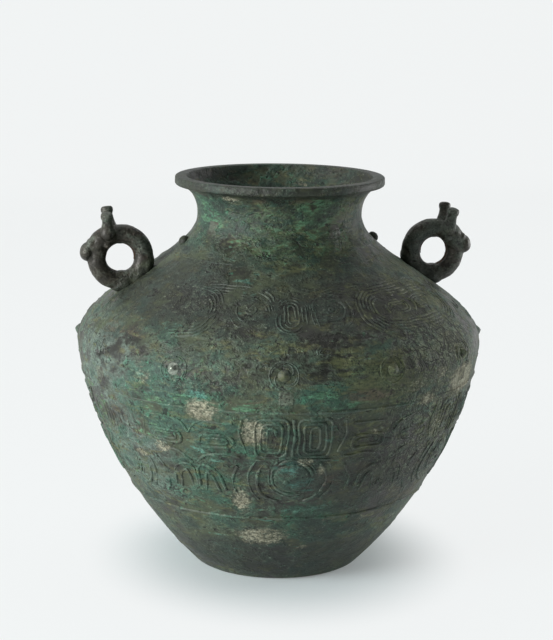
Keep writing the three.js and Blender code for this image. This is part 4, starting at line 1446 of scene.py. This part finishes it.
@dataclass(frozen=True)
class Ornament:
    """The bands of cast ornament, by the places of their units round the jar."""

    front: float = -96.7
    dragon_height: float = 264.0
    dragon_offset: float = 47.7
    mask_height: float = 140.0
    masks: int = 6
    whorl_height: float = 219.0
    whorls: int = 12
    whorl_first: float = -9.6
    scrolls: int = 40
    scroll_height: float = 236.5
    rim_heights: tuple[float, ...] = (203.5, 229.5, 243.5, 296.0)
    bow_heights: tuple[float, ...] = (78.0, 185.5)
    # The whorl whose boss gets the pale finish with its painted glint.
    rubbed_glint_whorl: int = 8
    knob_height: float = 305.0
    eye_height: float = 122.0
    pupil_shift: Point = (-1.6, -2.5)
    chaplets: tuple[tuple[str, float, int, float], ...] = (
        ("lower", 58.0, 6, -105.6), ("belly", 199.0, 6, -39.0), ("neck", 322.0, 4, -62.0)
    )

    def dragon(self) -> list[Stroke]:
        """One coiled dragon of the shoulder: its body's coil, and its neck and head towards the front.

        Returns:
            The strokes.
        """
        strokes = [coil(0, -2, 29, 3.4, 6.0, 13.0)]
        strokes += [coil(-16, -2, 6, 2.9, 2.6, 1.8, 0.9), coil(20, -2, 8, 2.8, 2.4, 1.8, 0.9)]
        strokes += [curve((-5, 9), (3, 5), (6, -3), (0, -10), strength=0.9)]
        for k in range(4):
            rise = 20 + 3.6 * k
            brow = ((-97 - 2 * k, rise - 10), (-100 - 2.4 * k, 2))
            strokes += [curve((-34, rise), (-60, rise + 1), (-84, rise - 1), *brow)]
        strokes += [round_line(-86, 3, 5.2, 1.1), round_line(-86, 3, 2.0, 1.2)]
        strokes += [curve((-96, -8), (-86, -11), (-76, -6), (-72, 6), (-78, 14), (-88, 14))]
        strokes += [curve((-98, -16), (-86, -19), (-74, -14), (-67, 0), (-68, 12), strength=0.9)]
        for k in range(3):
            out = 4 * k
            strokes += [curve((66 + out, 22), (74 + out, 6), (76 + out, -10), (70 + out, -28), strength=0.9)]
        return strokes

    def between_dragons(self) -> list[Stroke]:
        """The upright loops between two dragons that face each other.

        Returns:
            The strokes.
        """
        strokes = [racetrack(0, -2, w, h, w, 0.9) for w, h in ((3, 10), (6.2, 14), (9.4, 18), (12.6, 21))]
        strokes += [curve((18 + out, -18), (17 + out, 0), (19 + out, 18), strength=0.7) for out in (0.0, 3.2)]
        return strokes

    def mask(self) -> tuple[list[Stroke], list[Stroke]]:
        """One mask of the lower wall: its crest and round eye, and the jaws and curls of its right half.

        Returns:
            The strokes that stand once, and those that are mirrored for the left half.
        """
        crest = [curve((0, 4), (0.4, 22), (0, 42), strength=1.25)]
        for wide, tall, corner in ((13.5, 19, 6), (8.6, 15, 4.5), (3.6, 11, 3)):
            crest += [racetrack(side * 18, 23, wide, tall, corner) for side in (-1, 1)]
        eye = [round_line(0, -19, r, s) for r, s in ((18.6, 1.2), (21.8, 0.7))]
        jaws = [
            curve((36, 0), (10, 1.5), (-10, 1.5), (-36, 0), strength=1.0),
            curve((24, -3), (31, -16), (31, -30), (24, -41), (12, -47), strength=1.2),
            curve((31, -1), (38, -15), (38, -32), (30, -45), strength=1.0),
            curve((42, 40), (44, 24), (40, 8), strength=1.0),
            racetrack(65, 17, 15, 6, 5, 1.2),
            racetrack(65, 17, 10.5, 2.6, 2.5, 0.9),
            curve((50, 36), (66, 37), (82, 34), (88, 24), strength=1.0),
            curve((45, 2), (60, 4), (76, 2), (86, -8), strength=1.0),
            curve((62, -35), (66, -18), (76, -10), (86, -14), (88, -34), strength=1.2),
            curve((68, -38), (72, -22), (79, -18), (82, -38), strength=1.0),
            curve((48, -6), (54, -20), (52, -38), (46, -48), strength=1.0),
        ]
        return [*crest, *eye], jaws

    def scroll(self) -> list[Stroke]:
        """One short scroll of the belt above the belly."""
        return [coil(-2, 0, 2.4, 2.2, 1.6, 1.0), curve((5, 3.4), (8.5, 0), (6, -3.6), (2, -3.2))]

    def bands(self) -> list[ThreadBand]:
        """All the bands of threads, ready to be laid on the wall.

        Returns:
            The bands.
        """
        shoulder = ThreadBand("shoulder_dragons", width=3.0, relief=0.8, seed=2.0)
        for axis in (self.front, self.front + 180):
            for side in (-1, 1):
                strokes = self.dragon()
                if side < 0:
                    strokes = [stroke.mirrored() for stroke in strokes]
                shoulder.place(axis + side * self.dragon_offset, self.dragon_height, strokes)
            shoulder.place(axis, self.dragon_height, self.between_dragons())
        frieze = ThreadBand("mask_frieze", width=3.2, relief=1.25, wear=0.44, stray=1.9, seed=5.0)
        middle, sides = self.mask()
        for k in range(self.masks):
            frieze.place(self.front + 60 * k, self.mask_height, middle)
            frieze.place(self.front + 60 * k, self.mask_height, sides[:1])
            frieze.place(self.front + 60 * k, self.mask_height, sides[1:], mirror=True)
        belt = ThreadBand("belly_scrolls", width=1.9, relief=0.6, wear=0.5, seed=8.0)
        for k in range(self.scrolls):
            belt.place(self.front + 360 / self.scrolls * k, self.scroll_height, self.scroll())
        rims = ThreadBand("band_edges", width=1.8, relief=0.6, wear=0.5, seed=13.0)
        rims.encircle(self.rim_heights, 0.9)
        bows = ThreadBand("bow_strings", width=3.2, relief=1.2, sides=8, wear=0.34, stray=0.4, seed=21.0)
        bows.encircle(self.bow_heights, 1.0)
        return [shoulder, frieze, belt, rims, bows]


@dataclass
class Motifs:
    """Single cast forms that are set round the wall: whorls, knobs and the faces of the chaplets."""

    boss_radius: float = 5.6
    boss_relief: float = 3.9
    whorl_radius: float = 12.5
    curls: int = 4
    curl_gaps: Point = (1.2, 1.4)
    curl_sweep: float = 1.5
    curl_width: float = 1.7
    curl_height: float = 0.5
    knob_radius: float = 5.2
    knob_relief: float = 5.0
    eye_radius: float = 16.0
    eye_relief: float = 2.2
    pupil_radius: float = 3.6
    pupil_relief: float = 3.4
    chaplet_side: float = 14.0
    chaplet_relief: float = 0.22
    chaplet_depth: float = 1.6

    def spots(self, name: str, places: Iterable[Triple]) -> Object:
        """Points on the wall by angle, height and strength, for a motif to be set on.

        Args:
            name: the object's name.
            places: angle, height and strength of each.

        Returns:
            The points.
        """
        rows = list(places)
        points = [WALL.point(theta, float(WALL.along(height))) for theta, height, _ in rows]
        base = meshed(name, points, [], [])
        store(base.data, "strength", np.array([strength for _, _, strength in rows]))
        return base

    def dome(self, radius: float, relief: float, sharp: float) -> Object:
        """A boss with its foot below the face: a cone where sharp is 1, a dome where it is 0.

        Args:
            radius: its radius.
            relief: how far it stands out.
            sharp: how near it is to a cone.

        Returns:
            The motif.
        """
        rings = [(0.0, -0.35), (1.0, -0.35), (1.0, 0.1)]
        for k in range(1, 7):
            t = k / 7
            reach = math.cos(t * math.pi / 2) * (1 - sharp) + (1 - t) * sharp
            rings.append((reach, 0.1 + 0.9 * (math.sin(t * math.pi / 2) * (1 - sharp) + t * sharp)))
        rings.append((0.0, 1.0))
        return lathed("dome", [(r * radius, z * relief) for r, z in rings], 24)

    def whorl(self) -> Object:
        """The roundel of a whorl: a ring and comma-shaped curls about the boss.

        Returns:
            The motif.
        """
        lines = [round_line(0, 0, self.whorl_radius)]
        inner = self.boss_radius + self.curl_gaps[0]
        run = self.whorl_radius - inner - self.curl_gaps[1]
        for k in range(self.curls):
            turn = math.tau * k / self.curls
            spine = []
            for t in np.linspace(0, 1, 9):
                angle = turn + self.curl_sweep * t
                reach = inner + run * math.sin(math.pi / 2 * t)
                spine.append((reach * math.cos(angle), reach * math.sin(angle)))
            lines.append(Stroke(tuple(spine)))
        points: list[Triple] = []
        faces: list[tuple[int, ...]] = []
        for line in lines:
            self.ribbon(line, points, faces)
        return meshed("whorl", points, [], faces)

    def ribbon(self, line: Stroke, points: list[Triple], faces: list) -> None:
        """Adds a low ridge along a line to a motif's points and faces.

        Args:
            line: the line.
            points: the motif's points.
            faces: the motif's faces.
        """
        rows = np.array(line.points)
        after = np.roll(rows, -1, 0) if line.closed else np.vstack([rows[1:], rows[-1:] * 2 - rows[-2:-1]])
        before = np.roll(rows, 1, 0) if line.closed else np.vstack([rows[:1] * 2 - rows[1:2], rows[:-1]])
        way = after - before
        way /= np.hypot(way[:, 0], way[:, 1])[:, None]
        side = np.column_stack([-way[:, 1], way[:, 0]])
        first = len(points)
        section = ((-0.5, -0.5), (-0.32, 0.55), (0.0, 1.0), (0.32, 0.55), (0.5, -0.5))
        for at, out in zip(rows, side):
            for across, up in section:
                x, y = at + out * across * self.curl_width
                points.append((x * MM, y * MM, up * self.curl_height * MM))
        n = len(section)
        count = len(rows)
        for i in range(count if line.closed else count - 1):
            j = (i + 1) % count
            for k in range(n):
                m = (k + 1) % n
                faces.append((first + i * n + k, first + i * n + m, first + j * n + m, first + j * n + k))
        if not line.closed:
            faces.append(tuple(first + k for k in range(n)))
            faces.append(tuple(first + (count - 1) * n + k for k in reversed(range(n))))

    def chaplet(self) -> Object:
        """The face of a chaplet: a worn square plate, a little proud of the wall.

        Returns:
            The motif.
        """
        dice = random.Random(5)
        steps = 14
        row = steps + 1
        half = self.chaplet_side / 2 * MM
        points: list[Triple] = []
        for j in range(row):
            for i in range(row):
                u, v = 2 * i / steps - 1, 2 * j / steps - 1
                edge = max(abs(u), abs(v))
                pull = 1 - 0.07 * (abs(u * v)) ** 1.5
                lift = self.chaplet_relief * (1.0 if edge < 0.9 else -1.5) + dice.uniform(-0.05, 0.05)
                points.append((u * half * pull, v * half * pull, lift * MM))
        starts = [j * row + i for j in range(steps) for i in range(steps)]
        faces = [(k, k + 1, k + row + 1, k + row) for k in starts]
        flat = len(points)
        points += [(x, y, -self.chaplet_depth * MM) for x, y, _ in points[:flat]]
        faces += [tuple(flat + k for k in reversed(face)) for face in faces[:]]
        rim = [*range(steps), *range(steps, flat - 1, row), *range(flat - 1, flat - row, -1)]
        rim += range(flat - row, 0, -row)
        for a, b in zip(rim, rim[1:] + rim[:1]):
            faces.append((a, flat + a, flat + b, b))
        return meshed("chaplet_face", points, [], faces)

    def set_round(
        self,
        tree: NodeTree,
        wall: Object,
        motif: Object,
        places: Iterable[Triple],
        material: Material,
        name: str,
    ) -> Object:
        """Sets a motif at places of the wall and removes the loose motif.

        Args:
            tree: the motif tree.
            wall: the jar's body.
            motif: the flat motif.
            places: angle, height and strength of each copy.
            material: the finish.
            name: the new piece's name.

        Returns:
            The piece with all the copies.
        """
        values = {"Wall": wall, "Motif": motif, "Size": 1.0, "Relief": 1.0, "Finish": material}
        piece = grown(self.spots(name + "_places", places), tree, values, name)
        bpy.data.objects.remove(motif)
        return piece


@dataclass(frozen=True)
class Lump:
    """One swelling of the animal's head: its place round the ring, its half axes and its side."""

    angle: float
    outside: float
    along: float
    across: float
    half_width: float
    side: float = 0.0
    tip: float = 0.0


@dataclass
class RingHandle:
    """One cast-on ring with an animal's head on it. It is made on the +X side and mirrored for the left."""

    side: str
    centre: Point = (148.2, 291.35)
    ring_radius: float = 21.6
    tube_radius: float = 8.8
    slot_width: float = 5.4
    core_radius: float = 5.3
    grain: float = 0.75
    skin: float = 0.35
    tang_spacing: float = 18.0
    tang_radius: float = 3.6
    tang_head_radius: float = 6.4
    tang_head: float = 3.0
    sink: float = 2.4
    tang_height: float = 271.0
    horn_places: tuple[Triple, ...] = ((61.0, 6.6, 9.0), (66.0, 7.0, 7.0))
    horn_offset: float = 7.6
    horn_splay: float = 15.0
    horn_grain: tuple[float, int] = (4.0, 3)
    horn_skin: float = 0.16
    horn_profile: tuple[Point, ...] = (
        (0.0, -8.0), (2.4, -7.8), (4.6, -7.0), (6.3, -5.5), (7.3, -3.4), (7.5, -1.0), (7.0, 1.0), (6.3, 2.9),
        (5.6, 5.4), (5.0, 8.2), (4.7, 10.4), (4.7, 12.0), (5.1, 13.0), (5.6, 13.9), (5.7, 15.4), (5.6, 16.8),
        (5.1, 18.0), (4.0, 18.7), (2.2, 18.9), (0.0, 18.9),
    )
    lumps: tuple[Lump, ...] = (
        Lump(38.3, 2.4, 15.5, 9.4, 11.0),
        Lump(36.0, 5.6, 7.4, 6.2, 7.4),
        Lump(27.0, 7.0, 4.6, 5.0, 4.4, 5.0),
        Lump(27.0, 7.0, 4.6, 5.0, 4.4, -5.0),
        Lump(10.5, 9.6, 8.6, 6.4, 8.8),
        Lump(21.0, 7.6, 7.0, 5.0, 6.6),
        Lump(1.0, 4.5, 6.5, 5.0, 7.6),
        Lump(63.0, 1.5, 6.6, 6.4, 4.6, 7.6),
        Lump(63.0, 1.5, 6.6, 6.4, 4.6, -7.6),
        Lump(46.0, -3.4, 3.4, 3.6, 2.4, 9.6),
        Lump(46.0, -3.4, 3.4, 3.6, 2.4, -9.6),
        Lump(90.0, -2.2, 13.0, 7.0, 7.0),
        Lump(268.0, -2.0, 14.0, 7.4, 7.4),
        Lump(262.0, 3.0, 14.0, 8.0, 10.2),
        Lump(228.0, 2.0, 16.0, 8.0, 10.0),
        Lump(196.0, 3.0, 12.0, 7.0, 9.6),
    )

    def on_ring(self, angle: float, outside: float, side: float) -> Vector:
        """A point by its angle up round the ring, its distance outside the tube's middle and its side.

        Args:
            angle: the angle up round the ring.
            outside: how far outside the tube's middle.
            side: how far aside.

        Returns:
            The point in metres.
        """
        turn = math.radians(angle)
        reach = self.ring_radius + outside
        x = self.centre[0] + reach * math.cos(turn)
        return Vector((x, side, self.centre[1] + reach * math.sin(turn))) * MM

    def ring(self, shape: bmesh.types.BMesh) -> None:
        """Adds the ring: a tube with its channel open to the inside, and solid by the shoulder.

        Args:
            shape: what gets it.
        """
        around = 96
        opening = math.asin(self.slot_width / 2 / self.tube_radius)
        section: list[Point] = []
        for k in range(33):
            angle = math.pi + opening + (math.tau - 2 * opening) * k / 32
            section.append((self.tube_radius * math.cos(angle), self.tube_radius * math.sin(angle)))
        for k in range(17):
            angle = math.pi - 0.55 - (math.tau - 1.1) * k / 16
            section.append((self.core_radius * math.cos(angle), self.core_radius * math.sin(angle)))
        rows = []
        for i in range(around):
            turn = 360 * i / around
            rows.append([shape.verts.new(self.on_ring(turn, u, v)) for u, v in section])
        for i in range(around):
            j = (i + 1) % around
            for k in range(len(section)):
                m = (k + 1) % len(section)
                shape.faces.new((rows[i][k], rows[i][m], rows[j][m], rows[j][k]))
        for angle in range(184, 278, 6):
            swell = 1.07 - 0.11 * min(1.0, (angle - 184) / 42)
            self.ball(shape, self.on_ring(angle, 0, 0), (self.tube_radius * swell,) * 3, 0)

    def ball(
        self, shape: bmesh.types.BMesh, at: Vector, axes: Triple, tilt: float
    ) -> None:
        """Adds an egg with half axes across, sideways and along, turned in the ring's plane.

        Args:
            shape: what gets it.
            at: its middle.
            axes: the half axes.
            tilt: how far it is turned.
        """
        made = bmesh.ops.create_uvsphere(shape, u_segments=24, v_segments=14, radius=1.0)["verts"]
        turn = Matrix.Rotation(-math.radians(tilt), 4, "Y")
        size = Matrix.Diagonal((axes[0] * MM, axes[1] * MM, axes[2] * MM, 1.0))
        bmesh.ops.transform(shape, matrix=Matrix.Translation(at) @ turn @ size, verts=made)

    def sculpt(self) -> Object:
        """Makes the ring and the head as one smooth skin.

        Returns:
            The piece.
        """
        shape = bmesh.new()
        self.ring(shape)
        for lump in self.lumps:
            axes = (lump.across, lump.half_width, lump.along)
            self.ball(shape, self.on_ring(lump.angle, lump.outside, lump.side), axes, lump.angle + lump.tip)
        mesh = bpy.data.meshes.new("ring")
        shape.to_mesh(mesh)
        shape.free()
        ring = linked(f"ring_handle_{self.side}", mesh)
        remesh = ring.modifiers.new("skin", "REMESH")
        remesh.mode = "VOXEL"
        remesh.voxel_size = self.grain * MM
        smooth = ring.modifiers.new("flow", "SMOOTH")
        smooth.iterations = 5
        smooth.factor = 0.5
        return settled(ring)

    def work_skin(self, mesh: Mesh) -> None:
        """Roughens the skin, keeps the hole open and ends the ring inside the shoulder's wall.

        Args:
            mesh: the ring's mesh.
        """
        points = positions(mesh)
        move = roughness(points, 9, 3, 5.0) * self.skin + roughness(points, 3, 2, 9.0) * self.skin * 0.35
        points += normals(mesh) * (move * MM)[:, None]
        theta, height, radius = cylindrical(points)
        along = WALL.along(height)
        face = np.array([WALL.facing(a) for a in along])
        depth = (WALL.radius(height) - radius) * face[:, 0]
        deep = (depth > self.sink) & (radius < 150)
        push = (depth - self.sink) * deep * MM
        turn = np.radians(theta)
        out = np.column_stack([np.cos(turn) * face[:, 0], np.sin(turn) * face[:, 0], face[:, 1]])
        points += out * push[:, None]
        reshape(mesh, points)

    def tangs(self, mesh: Mesh) -> None:
        """Adds the two tangs and their heads inside the jar.

        Args:
            mesh: the ring's mesh.
        """
        seat = float(WALL.along(self.tang_height))
        face = WALL.facing(seat)
        middle = WALL.point(0, seat)
        shape = bmesh.new()
        shape.from_mesh(mesh)
        tilt = math.atan2(face[0], face[1])
        for step in (-1, 1):
            for radius, top, low in (
                (self.tang_radius, 1.0, -WALL.thickness - 1.0),
                (self.tang_head_radius, -WALL.thickness - 0.2, -WALL.thickness - 0.2 - self.tang_head),
            ):
                wide, long = radius * MM, (top - low) * MM
                made = bmesh.ops.create_cone(
                    shape, cap_ends=True, segments=28, radius1=wide * 0.86, radius2=wide, depth=long
                )["verts"]
                shift = Matrix.Translation(Vector((step * self.tang_spacing / 2, 0, (top + low) / 2)) * MM)
                turn = Matrix.Translation(middle) @ Matrix.Rotation(tilt, 4, "Y") @ shift
                bmesh.ops.transform(shape, matrix=turn, verts=made)
        shape.to_mesh(mesh)
        shape.free()

    def horn(self, back: bool) -> Object:
        """One bottle-shaped horn: wide root, thin waist, and a cap like a mushroom.

        Args:
            back: whether it is the back one of the two.

        Returns:
            The piece.
        """
        angle, outside, lean_out = self.horn_places[int(back)]
        way = 1 if back else -1
        horn = lathed(f"bottle_horn_{self.side}_{'back' if back else 'front'}", self.horn_profile, 28)
        lean = Matrix.Rotation(math.radians(lean_out), 4, "Y")
        lean = lean @ Matrix.Rotation(math.radians(-way * self.horn_splay), 4, "X")
        seat = self.on_ring(angle, outside, way * self.horn_offset)
        horn.data.transform(Matrix.Translation(seat) @ lean)
        rise = horn.modifiers.new("rounding", "SUBSURF")
        rise.levels = rise.render_levels = 1
        settled(horn)
        rows = positions(horn.data)
        move = roughness(rows, *self.horn_grain, 2.0) * self.horn_skin * MM
        reshape(horn.data, rows + normals(horn.data) * move[:, None])
        return horn

    def mirrored(self, piece: Object) -> None:
        """Turns a piece of the right handle into the left one's."""
        piece.data.transform(Matrix.Diagonal((-1.0, 1.0, 1.0, 1.0)))
        piece.data.flip_normals()

    def build(self, bronze: Material, clay: Material) -> None:
        """Makes and dresses the ring, its horns and its clay core.

        Args:
            bronze: the handle's finish.
            clay: the core's finish.
        """
        ring = self.sculpt()
        self.work_skin(ring.data)
        self.tangs(ring.data)
        horns = [self.horn(False), self.horn(True)]
        if self.side == "left":
            for piece in (ring, *horns):
                self.mirrored(piece)
        dress(ring, bronze, "handle_bronze", f"handle_loop_{self.side}")
        for horn, end in zip(horns, ("front", "back")):
            dress(horn, bronze, "handle_bronze", f"horn_{self.side}_{end}")
        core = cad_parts[f"handle_core_{self.side}"]
        core.data.materials.clear()
        core.data.materials.append(clay)


@dataclass
class Studio:
    """A pale sweep of floor and backdrop, soft lamps from the upper left, and the camera."""

    azimuth: float = -11.23
    distance: float = 1.6
    eye_height: float = 0.5593
    pitch: float = 11.70
    roll: float = 0.607
    focal_pixels: float = 1738.5
    centre_x: float = 278.45
    width: int = 553
    height: int = 640
    floor: str = "#deeef0"
    paper: str = "#f5f7f7"
    lamp_target: float = 0.18
    sweep_side: float = 7.0
    sweep_front: float = 6.0
    sweep_start: float = 2.2
    sweep_bend: float = 1.2
    sweep_top: float = 6.0
    lamps: tuple[tuple[str, Triple, float, float], ...] = (
        ("key_from_left", (-2.4, -0.9, 0.8), 1.4, 84.0),
        ("top_light", (0.0, 0.6, 2.6), 2.0, 15.0),
        ("rim_from_right", (2.4, 0.4, 0.25), 1.2, 30.0),
    )

    def camera(self) -> None:
        """Sets the camera at the photograph's place."""
        a = math.radians(self.azimuth)
        p = math.radians(self.pitch)
        right = Vector((math.cos(a), math.sin(a), 0))
        ahead = Vector((-math.sin(a) * math.cos(p), math.cos(a) * math.cos(p), -math.sin(p)))
        up = right.cross(ahead)
        cs, sn = math.cos(math.radians(self.roll)), math.sin(math.radians(self.roll))
        x_axis = right * cs + up * sn
        y_axis = up * cs - right * sn
        data = bpy.data.cameras.new("viewer")
        data.sensor_width = 36
        data.lens = self.focal_pixels * 36 / self.height
        data.shift_x = -(self.centre_x - self.width / 2) / self.height
        data.clip_end = 50
        turn = Matrix((x_axis, y_axis, -ahead)).transposed().to_4x4()
        eye = Vector((math.sin(a) * self.distance, -math.cos(a) * self.distance, self.eye_height))
        camera = linked("viewer", data)
        camera.matrix_world = Matrix.Translation(eye) @ turn
        bpy.context.scene.camera = camera

    def lamp(self, name: str, at: Vector, size: float, power: float) -> None:
        """Adds a square soft lamp that looks at the jar.

        Args:
            name: its name.
            at: its place.
            size: its side in metres.
            power: its power in watts.
        """
        data = bpy.data.lights.new(name, "AREA")
        data.shape = "SQUARE"
        data.size = size
        data.energy = power
        lamp = linked(name, data)
        lamp.location = at
        lamp.rotation_euler = (Vector((0, 0, self.lamp_target)) - at).to_track_quat("-Z", "Y").to_euler()

    def sweep(self) -> None:
        """Adds the floor and backdrop in one curved sheet."""
        bend, start = self.sweep_bend, self.sweep_start
        line: list[Point] = [(-self.sweep_front, 0.0), (start, 0.0)]
        for t in np.linspace(0.1, math.pi / 2, 16):
            line.append((start + bend * math.sin(t), bend - bend * math.cos(t)))
        line.append((start + bend, self.sweep_top))
        points = [(x, y, z) for y, z in line for x in (-self.sweep_side, self.sweep_side)]
        faces = [(2 * i, 2 * i + 1, 2 * i + 3, 2 * i + 2) for i in range(len(line) - 1)]
        sheet = meshed("studio_sweep", points, [], faces)
        for polygon in sheet.data.polygons:
            polygon.use_smooth = True
        # Matt paper has no highlight. It whitens away from the jar and to the back, so no edge of it shows.
        material = blank_material("matt_backdrop_paper")
        tree = material.node_tree
        matt = add(tree, "ShaderNodeBsdfDiffuse", {"Color": linear(self.floor)})
        glow = add(tree, "ShaderNodeEmission", {"Color": linear(self.paper), "Strength": 1.0})
        rays = add(tree, "ShaderNodeLightPath")
        place = add(tree, "ShaderNodeTexCoord")["Object"]
        back = add(tree, "ShaderNodeSeparateXYZ", {0: place})["Y"]
        away = add(tree, "ShaderNodeVectorMath", (place, (1.0, 0.86, 1.0)), operation="MULTIPLY")[0]
        away = add(tree, "ShaderNodeVectorMath", {0: away}, operation="LENGTH")["Value"]
        near = {"Value": away, "From Min": 0.07, "From Max": 0.19, "To Min": 0.2, "To Max": 0.92}
        near = add(tree, "ShaderNodeMapRange", near, interpolation_type="SMOOTHSTEP")[0]
        share = {"Value": back, "From Min": 0.1, "From Max": 2.6, "To Min": 0.0, "To Max": 0.94}
        share = add(tree, "ShaderNodeMapRange", share, interpolation_type="SMOOTHSTEP")[0]
        share = add(tree, "ShaderNodeMath", (share, near), operation="MAXIMUM")[0]
        eye = add(tree, "ShaderNodeMath", (rays["Is Camera Ray"], rays["Is Glossy Ray"]), operation="MAXIMUM")
        seen = add(tree, "ShaderNodeMath", (eye[0], share), operation="MULTIPLY")[0]
        mixed = add(tree, "ShaderNodeMixShader", (seen, matt[0], glow[0]))
        add(tree, "ShaderNodeOutputMaterial", {"Surface": mixed[0]})
        sheet.data.materials.append(material)

    def world(self) -> None:
        """Sets the soft light that comes from all round."""
        world = bpy.data.worlds.new("studio")
        world.use_nodes = True
        tree = world.node_tree
        tree.nodes.clear()
        way = add(tree, "ShaderNodeTexCoord")["Generated"]
        way = add(tree, "ShaderNodeSeparateXYZ", {0: way})
        level = {"Value": way["Y"], "From Min": -0.8, "From Max": 0.6, "To Min": 0.16, "To Max": 0.75}
        level = add(tree, "ShaderNodeMapRange", level, interpolation_type="SMOOTHSTEP")[0]
        above = {"Value": way["Z"], "From Min": 0.3, "From Max": 0.9, "To Min": 1.0, "To Max": 0.45}
        above = add(tree, "ShaderNodeMapRange", above, interpolation_type="SMOOTHSTEP")[0]
        level = add(tree, "ShaderNodeMath", (level, above), operation="MULTIPLY")[0]
        sky = add(tree, "ShaderNodeBackground", {"Color": linear("#f3f5f5"), "Strength": level})
        add(tree, "ShaderNodeOutputWorld", {"Surface": sky[0]})
        bpy.context.scene.world = world

    def build(self) -> None:
        """Sets up the whole studio."""
        bpy.context.scene.view_settings.view_transform = "Standard"
        self.sweep()
        self.world()
        for name, at, size, power in self.lamps:
            self.lamp(name, Vector(at), size, power)
        self.camera()


def main() -> None:
    """Builds the jar, its ornament, its handles and the studio."""
    logging.basicConfig(level=logging.INFO, format="%(name)s: %(message)s")
    noise.seed_set(STRAY_SEED)
    bronze = WALL_PATINA.material()
    # The threads' finish, painted lighter than the wall as a highlight besides its wear.
    worn = THREAD_PATINA.material()
    # The rubbed boss's finish, whose pale skin is a painted glint as well as bare metal.
    rubbed_glint = BOSS_PATINA.material()
    dark = HANDLE_PATINA.material()
    plate = CHAPLET_PATINA.material()
    clay = FiredClay().material()
    body = JarBody().build(turning_tree(), bronze)
    ornament = Ornament()
    threads = thread_tree()
    bands = [(band, band.build(threads, body, worn)) for band in ornament.bands()]
    motifs = Motifs()
    setting = motif_tree()
    front, masks, turn = ornament.front, ornament.masks, 360 / ornament.whorls
    whorls = [(ornament.whorl_first + turn * k, ornament.whorl_height, 1.0) for k in range(ornament.whorls)]
    rubbed_glint_one = [whorls.pop(ornament.rubbed_glint_whorl)]
    roundels = [*whorls[: ornament.rubbed_glint_whorl], *rubbed_glint_one, *whorls[ornament.rubbed_glint_whorl :]]
    knobs = [(theta, ornament.knob_height, 1.0) for theta in (0.0, 180.0)]
    eyes = [(front + 360 / masks * k, ornament.eye_height, 1.0) for k in range(masks)]
    aside, down = ornament.pupil_shift
    pupils = [(theta + aside, height + down, strength) for theta, height, strength in eyes]
    kinds = (
        ("whorl_bosses", motifs.dome(motifs.boss_radius, motifs.boss_relief, 0.75), whorls, worn),
        ("whorl_boss_rubbed", motifs.dome(motifs.boss_radius, motifs.boss_relief, 0.6), rubbed_glint_one, rubbed_glint),
        ("mask_eyes", motifs.dome(motifs.eye_radius, motifs.eye_relief, 0.0), eyes, bronze),
        ("mask_pupils", motifs.dome(motifs.pupil_radius, motifs.pupil_relief, 0.2), pupils, worn),
        ("whorl_curls", motifs.whorl(), roundels, worn),
        ("neck_knobs", motifs.dome(motifs.knob_radius, motifs.knob_relief, 0.0), knobs, dark),
    )
    pieces = [(motifs.set_round(setting, body, motif, places, finish, name), finish)
              for name, motif, places, finish in kinds]
    for row, height, count, first in ornament.chaplets:
        places = [(first + 360 / count * k, height, 1.0) for k in range(count)]
        faces = motifs.set_round(setting, body, motifs.chaplet(), places, plate, f"chaplet_faces_{row}")
        dress(faces, plate, "chaplet_bronze", *(f"chaplet_{row}_{k + 1}" for k in range(count)))
    dress(body, bronze, "body_bronze", "vessel_body")
    for _, piece in bands:
        dress(piece, worn, "body_bronze")
    for piece, finish in pieces:
        dress(piece, finish, "body_bronze")
    RingHandle("right", horn_places=((60.0, 5.0, 10.0), (65.0, 6.8, 9.0))).build(dark, clay)
    RingHandle("left", horn_places=((64.0, 5.6, 5.0), (71.0, 7.2, 6.0))).build(dark, clay)
    Studio().build()


if __name__ == "__main__":
    main()
